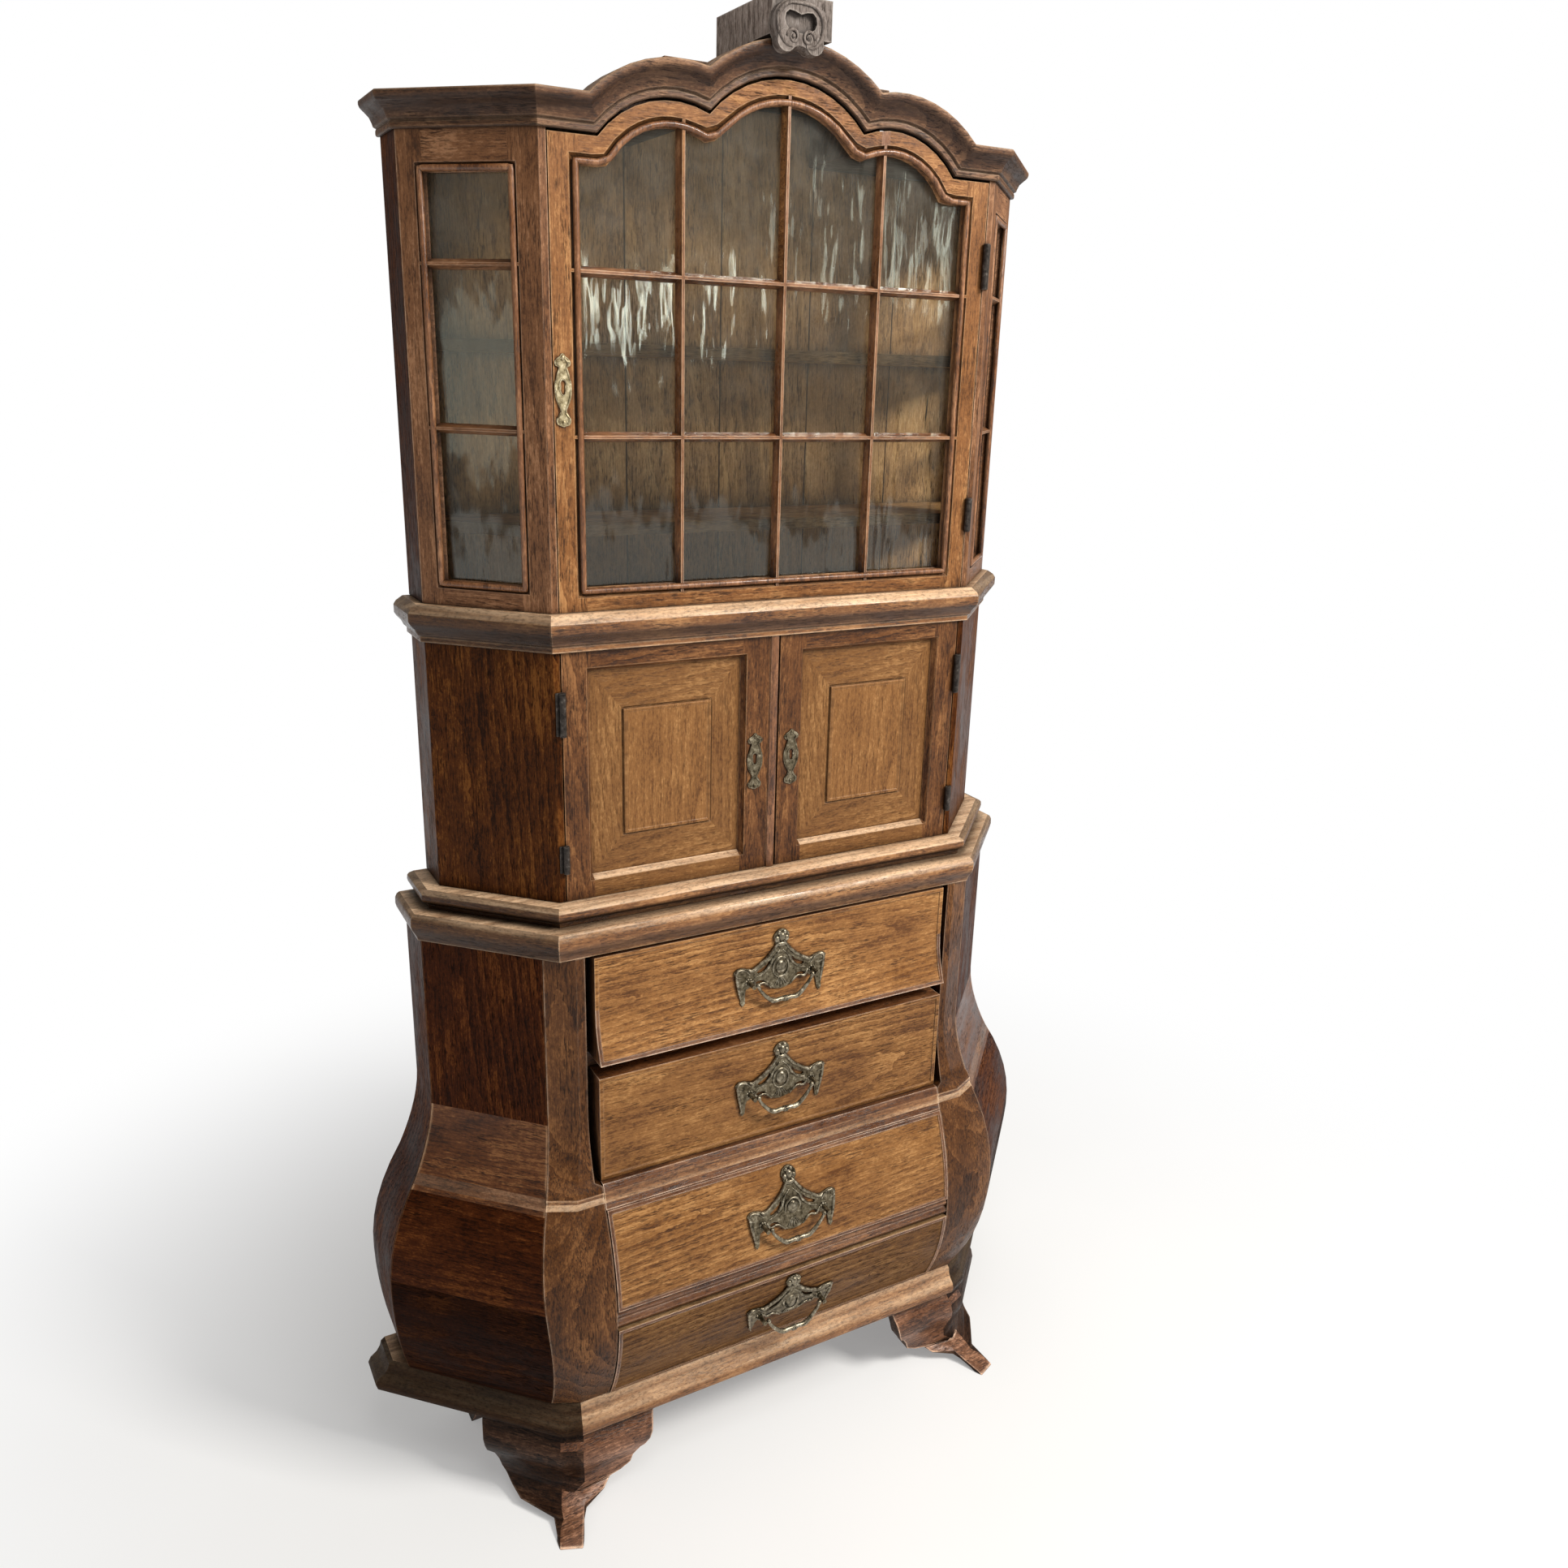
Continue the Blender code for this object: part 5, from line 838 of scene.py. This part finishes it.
def dress_moulding(node, front, cant, lean=CANT_MITRE):
    """A moulding in three lengths that meet in mitres at the front corners; the lengths on the cants are
    painted darker, as shade.

    lean is how far a mitre runs sideways for each metre that it runs forward.
    """
    cuts = [((sign * FRONT_HALF, FRONT_Y, 0), (sign, lean, 0)) for sign in SIDES.values()]
    height = middle(node).z

    def boards(place, facing):
        moulded_edge = abs(facing.z) < 0.99 and facing.y < 0.5
        # The lengths on the cants take the darker copy: painted shade
        if moulded_edge and abs(place.x) - FRONT_HALF + (place.y - FRONT_Y) * lean > 0:
            side = "left" if place.x < 0 else "right"
            return cant[side], (SIDES[side] * 0.40, 0.12, height + 0.04)
        return front["along"], (0.02, 0.09, height + 0.03)

    dress(node, "oak", boards, cuts)


def dress_foot(node):
    """A bracket foot, its front wing painted lighter as light and the wing under the cant painted darker as
    shade.
    """
    place = middle(node)

    def boards(spot, facing):
        # Wings that face sideways take the shaded copy, the rest take the lit one
        if abs(facing.x) > FOOT_SIDEWAYS:
            side = "left" if spot.x < 0 else "right"
            return foot_cant_shaded[side], (place.x * 1.1, place.y + 0.1, 0.1)
        return footed_lit["along"], place + Vector(BOARD_TREE)

    dress(node, "oak_dark", boards, width=0.0015)


def dress_crest():
    """The crest: a carved disc in front of a plain grey block."""
    place = middle("crest")

    def boards(spot, facing):
        kind = carved if spot.y < CREST_BLOCK_FRONT else block_wood
        return kind["upright"], place + Vector(CREST_TREE)

    dress("crest", "oak_dark", boards)


def dress_cant(side):
    """A bombe corner: an upright board above the seam, curved pieces laid along the cant below it. Its slope
    above the crease is rubbed and painted lighter as light, and below the lowest seam it is painted darker as
    shade.
    """
    sign = SIDES[side]
    cuts = [((0, 0, z), UPRIGHT) for z in (*CANT_SEAMS, *CREASE_BAND)]

    def boards(place, facing):
        if place.z > CANT_SEAMS[0]:
            return shaded["upright"], tree_of("cant_upright", sign)
        if CREASE_BAND[0] < place.z < CREASE_BAND[1]:
            return ridge_rubbed_and_lit[side], tree_of("cant_crease", sign)
        # The slope above the crease is rubbed and painted lighter, as light falling on it
        if place.z > CANT_SEAMS[1]:
            return scuffed_and_lit[side], tree_of("cant_slope", sign)
        if place.z > CANT_SEAMS[2]:
            return shaded[side], tree_of("cant_belly", sign)
        # Below the lowest seam the cant is painted darker, as shade
        return shaded_below[side], tree_of("cant_bottom", sign)

    dress(f"chest_cant_{side}", "oak", boards, cuts, soft=CURVE_SOFT)


def smooth_path(points, steps=4):
    """Points on a smooth curve through the given ones."""
    points = [Vector(point) for point in points]
    ends = [points[0] * 2 - points[1], *points, points[-1] * 2 - points[-2]]
    path = []
    for before, start, end, after in zip(ends, ends[1:], ends[2:], ends[3:]):
        for step in range(steps):
            t = step / steps
            bend = start * 2 + (end - before) * t + (before * 2 - start * 5 + end * 4 - after) * t**2
            path.append((bend + (start * 3 - before - end * 3 + after) * t**3) / 2)
    return [*path, points[-1]]


def evened(values, count):
    """A list of count values read evenly along a shorter one."""
    read = []
    for index in range(count):
        place = index * (len(values) - 1) / (count - 1)
        low = min(int(place), len(values) - 2)
        read.append(values[low] + (values[low + 1] - values[low]) * (place - low))
    return read


def ring_path(centre, wide, tall, steps=20):
    """Points on an upright oval round centre."""
    turns = [2 * math.pi * step / steps for step in range(steps)]
    return [centre + Vector((wide * math.cos(turn), 0, tall * math.sin(turn))) for turn in turns]


def strip(shape, first, second):
    """Faces between two closed rings of as many points."""
    for side, corner in enumerate(first):
        after = (side + 1) % len(first)
        shape.faces.new((corner, first[after], second[after], second[side]))


def fan_of(shape, ring, tip):
    """Faces from a closed ring of points to a tip."""
    for side, corner in enumerate(ring):
        shape.faces.new((corner, ring[(side + 1) % len(ring)], tip))


def tube(shape, path, radii, sides=8, closed=False):
    """A round bar along path, its radius read evenly from radii, its ends rounded off."""
    radii = evened(radii, len(path))
    rings = []
    for index, (place, radius) in enumerate(zip(path, radii)):
        ahead = path[(index + 1) % len(path)] if closed else path[min(index + 1, len(path) - 1)]
        along = (ahead - path[index - 1 if closed else max(index - 1, 0)]).normalized()
        across = along.cross(DEEP)
        across = across.normalized() if across.length > WELD else ALONG
        up = across.cross(along)
        turns = [2 * math.pi * side / sides for side in range(sides)]
        corners = [place + (across * math.cos(turn) + up * math.sin(turn)) * radius for turn in turns]
        rings.append([shape.verts.new(corner) for corner in corners])
    pairs = list(zip(rings, rings[1:]))
    if closed:
        pairs.append((rings[-1], rings[0]))
    for first, second in pairs:
        strip(shape, first, second)
    if not closed:
        for ring, inner, radius in ((rings[0], path[1], radii[0]), (rings[-1], path[-2], radii[-1])):
            end = sum((vertex.co for vertex in ring), Vector()) / sides
            fan_of(shape, ring, shape.verts.new(end + (end - inner).normalized() * radius * CAP_SHARE))


def dome(shape, place, wide, tall, proud, sides=14, rings=4):
    """A flat-backed oval boss at place, standing proud towards the front."""
    loops = []
    for ring in range(rings):
        rise = math.pi / 2 * ring / rings
        centre = place - DEEP * proud * math.sin(rise)
        oval = ring_path(centre, wide * math.cos(rise), tall * math.cos(rise), sides)
        loops.append([shape.verts.new(corner) for corner in oval])
    top = shape.verts.new(place - DEEP * proud)
    for first, second in zip(loops, loops[1:]):
        strip(shape, first, second)
    fan_of(shape, loops[-1], top)
    shape.faces.new(loops[0][::-1])


def spiral(centre, radius, turns, start, hand, steps=26):
    """Points that wind in from radius to nearly the centre, seen from the front."""
    path = []
    for step in range(steps + 1):
        share = step / steps
        turn = start + hand * share * turns * 2 * math.pi
        reach = radius * (1 - SPIRAL_CLOSE * share)
        path.append(centre + Vector((math.cos(turn), 0, math.sin(turn))) * reach)
    return path


def facing_out(shape):
    """Turns every face of shape outwards."""
    bmesh.ops.recalc_face_normals(shape, faces=shape.faces)
    return shape


def cast(node, shape, material, stands_for=False, words="relief"):
    """A cast piece from a bmesh, riding with a CAD node and in place of it where it stands for it."""
    made = finished(facing_out(shape), f"{node}_{words}", one_board(material, (0, 0, 0)), CAST_SOFT)
    settled(made, node, stands_for)


def plate_relief(number):
    """The raised work on a handle's backplate: crown, sloping bars, cartouche, wings and legs."""
    node = f"handle_plate_{number}"
    skin = skin_of(node, within=PLATE_CLEAR_OF_POSTS)
    low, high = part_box(node)
    half = high.x
    tall = high.z - low.z
    shape = bmesh.new()

    def spot(x, z):
        height = low.z + z * tall
        return Vector((x * half, skin(height), height))

    for sign in (-1, 1):
        for line, radii in PLATE_LINES.values():
            tube(shape, smooth_path([spot(sign * x, z) for x, z in line]), radii)
        for x, z, *size in CROWN_LEAVES:
            dome(shape, spot(sign * x, z), *size)
        for petal in ring_path(spot(sign * POST_SHARE, POST_HIGH), PETAL_REACH, PETAL_REACH, PETALS):
            dome(shape, petal, PETAL_SIZE, PETAL_SIZE, PETAL_PROUD, sides=8, rings=3)
        for reach in FAN_REACHES:
            fan = Vector((sign * reach * half, 0, 0))
            tube(shape, [spot(0, 0.30) + fan * 0.5, spot(0, 0.19) + fan * 1.9], FAN_RADII, sides=6)
    tube(shape, ring_path(spot(0, CARTOUCHE_HIGH), *CARTOUCHE_RING), CARTOUCHE_RADII, closed=True)
    for z, *size in PLATE_BOSSES:
        dome(shape, spot(0, z), *size)
    tube(shape, [spot(0, 0.30), spot(0, 0.17)], FAN_STEM_RADII, sides=6)
    cast(node, shape, highlit_bronze)


def bail(number):
    """A hanging handle: two straight arms to a flat grip, thickest at its bends, with ball ends."""
    node = f"bail_{number}"
    low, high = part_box(node)
    centre = (low + high) / 2
    half = high.x - BALL_RADIUS
    top = high.z - BAIL_END_RADIUS
    drop = top - low.z - BAIL_GRIP_RADIUS
    shape = bmesh.new()
    outline = [*BAIL_HALF, *((-x, z) for x, z in reversed(BAIL_HALF[:-1]))]
    path = smooth_path([(x * half, centre.y, top - z * drop) for x, z in outline])
    tube(shape, path, BAIL_RADII, sides=12)
    for sign in (-1, 1):
        ball = Vector((sign * half, centre.y, top))
        bmesh.ops.create_uvsphere(
            shape, u_segments=14, v_segments=10, radius=BALL_RADIUS, matrix=Matrix.Translation(ball)
        )
    collar = Vector((0, centre.y, top - drop))
    turn = Matrix.Rotation(math.pi / 2, 3, "Z")
    collar_ring = [turn @ corner for corner in ring_path(Vector(), COLLAR_RADIUS, COLLAR_RADIUS, 14)]
    for shift in (-COLLAR_STEP, 0, COLLAR_STEP):
        ring = [collar + ALONG * shift + corner for corner in collar_ring]
        tube(shape, ring, (COLLAR_THICK, COLLAR_THICK), sides=6, closed=True)
    cast(node, shape, highlit_bronze, stands_for=True, words="grip")


def key_relief(node, material):
    """Raised scrolls, a rim round the keyhole and end knops on an escutcheon."""
    low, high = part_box(node)
    centre = (low + high) / 2
    half = (high.x - low.x) / 2
    tall = high.z - low.z
    shape = bmesh.new()

    def spot(x, z):
        return Vector((centre.x + x * half, low.y, centre.z + z * tall))

    for sign in (-1, 1):
        for line in KEY_LINES:
            tube(shape, smooth_path([spot(sign * x, z) for x, z in line]), KEY_RADII, sides=6)
        dome(shape, spot(sign * 0.66, 0.385), *KEY_BUD, sides=8, rings=3)
    for z, *size in KEY_KNOPS:
        dome(shape, spot(0, z), *size, sides=10, rings=3)
    rim = ring_path(spot(0, KEYHOLE_HIGH), half * KEYHOLE_WIDE, tall * KEYHOLE_TALL, 16)
    tube(shape, rim, KEYHOLE_RADII, sides=6, closed=True)
    cast(node, shape, material)


def neighbours(loop):
    """Each point of a closed loop with the one before it and the one after it."""
    return zip([loop[-1], *loop], loop, [*loop[1:], loop[0]])


def drawn_in(loop, facing, distance):
    """A flat closed loop moved inwards by distance. It runs anticlockwise round facing."""
    moved = []
    for before, place, after in neighbours(loop):
        first = facing.cross((place - before).normalized())
        second = facing.cross((after - place).normalized())
        moved.append(place + (first + second) * distance / (1 + first.dot(second)))
    return moved


def with_square_corners(loop, reach):
    """The same closed loop with a point at reach on both sides of each sharp corner."""
    path = []
    for before, place, after in neighbours(loop):
        if (place - before).angle(after - place) > SOFT_ANGLE:
            back, on = (before - place).normalized(), (after - place).normalized()
            path += [place + back * reach, place, place + on * reach]
        else:
            path.append(place)
    return path


def frame_bead(frame_node, glass_node, outward, material):
    """A bead on the face of a frame, along the edge of its opening.

    The glass behind the opening overlaps it by GLASS_LAP all round, so its outline gives the path.
    """
    pane = merged(glass_node)
    face = max(pane.faces, key=lambda face: face.normal.dot(outward) * face.calc_area())
    outline = drawn_in([vertex.co.copy() for vertex in face.verts], outward, GLASS_LAP - FRAME_BEAD_RADIUS)
    pane.free()
    front = max(vertex.co.dot(outward) for vertex in frame["nodes"][frame_node].data.vertices)
    lift = outward * (front - FRAME_BEAD_SUNK - outline[0].dot(outward))
    path = with_square_corners([place + lift for place in outline], FRAME_BEAD_RADIUS)
    shape = bmesh.new()
    tube(shape, path, (FRAME_BEAD_RADIUS, FRAME_BEAD_RADIUS), sides=12, closed=True)
    cast(frame_node, shape, material, words="bead")


def crest_carving():
    """Raised rims and winding volutes on the crest's front."""
    shape = bmesh.new()
    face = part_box("crest")[0].y + CARVING_SINK
    tall = CREST_TOP - CREST_LOW

    def spot(x, z):
        return Vector((CREST_X + x * CREST_HALF, face, CREST_LOW + z * tall))

    for sign in (-1, 1):
        tube(shape, smooth_path([spot(sign * x, z) for x, z in CREST_RIM]), RIM_RADII)
        eye = spot(sign * VOLUTE_EYE, VOLUTE_EYE)
        wind = spiral(eye, VOLUTE_RADIUS, VOLUTE_TURNS, math.pi / 2 - sign * math.pi / 2, sign)
        tube(shape, wind, VOLUTE_RADII)
        dome(shape, eye, *EYE_SIZE, sides=10, rings=3)
    cast("crest", shape, carved["upright"], words="carving")


def plank_tree():
    """A node tree that sets boards side by side, each a little in or out of line."""
    tree = bpy.data.node_groups.new("planks", "GeometryNodeTree")
    sockets = tree.interface
    sockets.new_socket("Geometry", in_out="OUTPUT", socket_type="NodeSocketGeometry")
    named = {}
    for label, kind in PLANK_SOCKETS.items():
        named[label] = sockets.new_socket(label, in_out="INPUT", socket_type=f"NodeSocket{kind}").identifier
    given = node_in(tree, "NodeGroupInput").outputs

    def made(kind, output=0, inputs=(), **settings):
        return node_in(tree, kind, inputs, **settings).outputs[output]

    narrow = made("ShaderNodeMath", 0, {0: given["Width"], 1: given["Gap"]}, operation="SUBTRACT")
    step = made("ShaderNodeCombineXYZ", 0, {"X": given["Width"]})
    line = made("GeometryNodeMeshLine", 0, {"Count": given["Boards"], "Offset": step})
    size = made("ShaderNodeCombineXYZ", 0, {"X": narrow, "Y": given["Thick"], "Z": given["Tall"]})
    board = made("GeometryNodeMeshCube", 0, {"Size": size})
    placed = made("GeometryNodeInstanceOnPoints", 0, {"Points": line, "Instance": board})
    chance = made("FunctionNodeRandomValue", 1, {3: PLANK_STEP, "Seed": given["Seed"]}, data_type="FLOAT")
    shift = made("ShaderNodeCombineXYZ", 0, {"Y": chance})
    moved = made("GeometryNodeTranslateInstances", 0, {"Instances": placed, "Translation": shift})
    real = made("GeometryNodeRealizeInstances", 0, {0: moved})
    coloured = made("GeometryNodeSetMaterial", 0, {"Geometry": real, "Material": given["Wood"]})
    node_in(tree, "NodeGroupOutput", {0: coloured})
    return tree, named


def laid_planks(tree, sockets, low, high, count, seed, material):
    """The planks between two corners as a bmesh, made by the node tree."""
    holder = linked("planks", bpy.data.meshes.new("planks"))
    modifier = holder.modifiers.new("planks", "NODES")
    modifier.node_group = tree
    width = (high.x - low.x) / count
    given = {"Boards": count, "Width": width, "Thick": high.y - low.y - PLANK_STEP, "Tall": high.z - low.z}
    for label, value in {**given, "Gap": PLANK_GAP, "Seed": seed, "Wood": material}.items():
        modifier[sockets[label]] = value
    bpy.context.view_layer.update()
    result = bpy.data.meshes.new_from_object(holder.evaluated_get(bpy.context.evaluated_depsgraph_get()))
    bpy.data.objects.remove(holder)
    shape = bmesh.new()
    shape.from_mesh(result)
    bpy.data.meshes.remove(result)
    start = Vector((low.x + width / 2, (low.y + high.y - PLANK_STEP) / 2, (low.z + high.z) / 2))
    bmesh.ops.translate(shape, verts=shape.verts, vec=start)
    return shape


def planked(node, spans, wood_kind):
    """Boards set upright in place of a CAD back. spans are (left, right, top, count)."""
    tree, sockets = plank_tree()
    low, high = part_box(node)
    width = (spans[0][1] - spans[0][0]) / spans[0][3]
    whole = bmesh.new()
    for seed, (left, right, top, count) in enumerate(spans):
        span_low = Vector((left, low.y, low.z))
        span_high = Vector((right, high.y, top))
        part = laid_planks(tree, sockets, span_low, span_high, count, seed, wood_kind)
        mesh = mesh_of(part, "span")
        whole.from_mesh(mesh)
        bpy.data.meshes.remove(mesh)

    def boards(place, facing):
        number = math.floor(place.x / width)
        return wood_kind, (number * width + 0.03 * (number % 3), 0.20 + 0.02 * (number % 4), 0.7 * number)

    settled(rounded(finished(whole, f"{node}_planks", boards), 0.0015), node)


def dress_panel(side):
    """A raised and fielded panel: mitred border, a moulded edge and the flat field."""
    node = f"cupboard_panel_{side}"
    low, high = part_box(node)
    front = low.y
    field = (FIELD_BORDER, FIELD_SILL, FIELD_HEAD)
    rim = (0.0, 0.0, 0.0)
    shape = bmesh.new()

    def rectangle(margins, inwards, depth):
        """A ring that lies margins in from the panel's rim, and then inwards further."""
        left, right = low.x + margins[0] + inwards, high.x - margins[0] - inwards
        bottom, top = low.z + margins[1] + inwards, high.z - margins[2] - inwards
        corners = ((left, bottom), (right, bottom), (right, top), (left, top))
        return [shape.verts.new((x, depth, z)) for x, z in corners]

    rings = [rectangle(rim, 0, high.y), rectangle(rim, 0, front + BORDER_LOW)]
    rings.append(rectangle(rim, PANEL_TONGUE, front + BORDER_LOW))
    rings += [rectangle(field, inwards, front + depth) for inwards, depth in FIELD_EDGE]
    for first, second in zip(rings, rings[1:]):
        strip(shape, first, second)
    shape.faces.new(rings[0][::-1])
    shape.faces.new(rings[-1])
    centre = (low + high) / 2
    half_wide = (high.x - low.x) / 2 - field[0]

    def boards(place, facing):
        aside = abs(place.x - centre.x)
        in_field = aside < half_wide - 0.007 and low.z + field[1] < place.z < high.z - field[2]
        if in_field:
            return fielded["upright"], (centre.x + 0.06, 0.03, centre.z)
        if aside / (high.x - centre.x) > abs(place.z - centre.z) / (high.z - centre.z):
            lean = math.copysign(0.09, place.x - centre.x)
            return bordered["upright"], (place.x + lean, 0.06, centre.z + lean)
        return bordered["along"], (centre.x, 0.05, place.z + 0.07)

    settled(rounded(finished(facing_out(shape), f"{node}_fielded", boards), 0.0004), node)


def lay_stage():
    """A pale floor that turns to plain white away from the cabinet, keeping its shadow."""
    made = Recipe("pale_floor")
    place = made.add("TexCoord").outputs["Object"]
    far = made.add("VectorMath", {0: place}, operation="LENGTH").outputs["Value"]
    tone = made.noise(place, 2.0, 2.0)
    made.set(Base_Color=made.ramp(tone, (0.3, (0.93, 0.93, 0.93)), (0.7, (0.95, 0.95, 0.95))), Roughness=0.9)
    glow = made.add("Emission", {"Color": (1, 1, 1, 1), "Strength": 1.0}).outputs[0]
    fade = made.spread(far, 0.5, 1.9, 0.25, 1.0)
    made.show(made.add("MixShader", {0: fade, 1: made.shader.outputs[0], 2: glow}).outputs[0])
    shape = bmesh.new()
    bmesh.ops.create_circle(shape, cap_ends=True, radius=14, segments=64)
    mesh = mesh_of(shape, "floor")
    mesh.materials.append(made.material)
    floor = linked("floor", mesh)


def light_world():
    """Plain light from all round, with white behind the object for the camera and through glass."""
    world = bpy.data.worlds.new("studio")
    bpy.context.scene.world = world
    world.use_nodes = True
    tree = world.node_tree
    soft = tree.nodes["Background"]
    soft.inputs["Color"].default_value = (1.0, 0.98, 0.95, 1)
    soft.inputs["Strength"].default_value = WORLD_LEVEL
    white = node_in(tree, "ShaderNodeBackground", {"Color": (1, 1, 1, 1), "Strength": 1.0}).outputs[0]
    path = node_in(tree, "ShaderNodeLightPath").outputs
    either = {0: path["Is Camera Ray"], 1: path["Is Transmission Ray"]}
    seen = node_in(tree, "ShaderNodeMath", either, operation="MAXIMUM").outputs[0]
    mixed = node_in(tree, "ShaderNodeMixShader", {0: seen, 1: soft.outputs[0], 2: white})
    feed(tree, mixed.outputs[0], tree.nodes["World Output"].inputs["Surface"])


def soft_lamp(name, place, target, width, height, power, colour):
    """A large area lamp at place, facing target."""
    data = bpy.data.lights.new(name, "AREA")
    data.shape = "RECTANGLE"
    data.size = width
    data.size_y = height
    data.energy = power
    data.color = colour
    lamp = linked(name, data)
    lamp.location = place
    lamp.rotation_euler = (Vector(target) - Vector(place)).to_track_quat("-Z", "Y").to_euler()


def glow_card(name, place, width, height, power):
    """A small bright lamp card aimed at the old glass, as a window across the room would be."""
    soft_lamp(name, place, GLASS_CENTRE, width, height, power, GLOW_COLOUR)


def aim_camera():
    """The photograph's view: from the left front and above, leaning a little."""
    data = bpy.data.cameras.new("camera")
    data.lens = CAMERA_LENS
    data.sensor_width = 36.0
    data.clip_end = 60
    camera = linked("camera", data)
    azimuth, elevation, roll = (math.radians(angle) for angle in CAMERA_ANGLES)
    ahead = Vector((math.sin(azimuth) * math.cos(elevation), math.cos(azimuth) * math.cos(elevation), 0))
    ahead.z = -math.sin(elevation)
    right = Vector((math.cos(azimuth), -math.sin(azimuth), 0))
    down = ahead.cross(right)
    turned_right = right * math.cos(roll) + down * math.sin(roll)
    turned_down = down * math.cos(roll) - right * math.sin(roll)
    turn = Matrix((turned_right, -turned_down, -ahead)).transposed()
    camera.matrix_world = Matrix.Translation(CAMERA_PLACE) @ turn.to_4x4()
    bpy.context.scene.camera = camera


for number in DRAWERS:
    dress_drawer(number)
    plain(f"handle_plate_{number}", "bronze", bronze, width=0.0005)
    plate_relief(number)
    bail(number)
for side in SIDES:
    dress_cupboard_door(side)
    dress_window_frame(side)
    dress_cant(side)
    plain(f"cupboard_side_{side}", "oak", sided_shaded["upright"])
    dress_post(side)
    plain(f"chest_return_{side}", "oak", shaded["upright"], soft=CURVE_SOFT)
    plain(f"upper_return_{side}", "oak", shaded["upright"])
    dress_foot(f"foot_front_{side}")
    dress_foot(f"foot_rear_{side}")
    plain(f"side_glass_{side}", "glass", glass, width=0)
    plain(f"escutcheon_{side}", "bronze", bronze, width=0.0003)
    key_relief(f"escutcheon_{side}", bronze)
    for end in ("lower", "upper"):
        plain(f"hinge_{side}_{end}", "iron", iron, width=0.0003)
for end in ("lower", "upper"):
    plain(f"hinge_glazed_{end}", "iron", iron, width=0.0003)
    plain(f"shelf_{end}", "oak_dark", faded["along"])
dress_glazed_frame()
frame_bead("glazed_door_frame", "door_glass", -DEEP, bars["upright"])
for side, sign in SIDES.items():
    outward = Vector((sign, -1, 0)).normalized()
    frame_bead(f"window_frame_{side}", f"side_glass_{side}", outward, bars["upright"])
plain("door_glass", "glass", glass, width=0)
plain("escutcheon_glazed", "brass", brass, width=0.0003)
key_relief("escutcheon_glazed", brass)
crest_carving()
dress_moulding("chest_base", moulded, mitred_shaded_low, PLINTH_MITRE)
for board in ("chest_top", "upper_base", "mid_board"):
    dress_moulding(board, moulded, mitred)
dress_moulding("cornice", corniced, corniced_cant_shaded)
plain("frieze", "oak", dusky["along"])
plain("roof_board", "oak_dark", dusky["along"])
dress_crest()
back_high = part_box("upper_back")[1]
third = back_high.x / 3
back_spans = (
    (-back_high.x, -third, ROOF_SIDE_UNDER, THIRD_PLANKS),
    (-third, third, back_high.z, THIRD_PLANKS),
    (third, back_high.x, ROOF_SIDE_UNDER, THIRD_PLANKS),
)
planked("upper_back", back_spans, faded["upright"])
chest_low, chest_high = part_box("chest_back")
planked("chest_back", ((chest_low.x, chest_high.x, chest_high.z, CHEST_PLANKS),), dusky["upright"])
dress_crease_rail()
for rail in ("lower", "upper"):
    plain(f"rail_{rail}", "oak", beaded["along"])

lay_stage()
light_world()
soft_lamp("key", colour=KEY_COLOUR, **KEY_LAMP)
soft_lamp("overhead", colour=TOP_COLOUR, **TOP_LAMP)
for name, card in GLOW_CARDS.items():
    glow_card(name, *card)
aim_camera()
bpy.context.scene.view_settings.view_transform = "Standard"
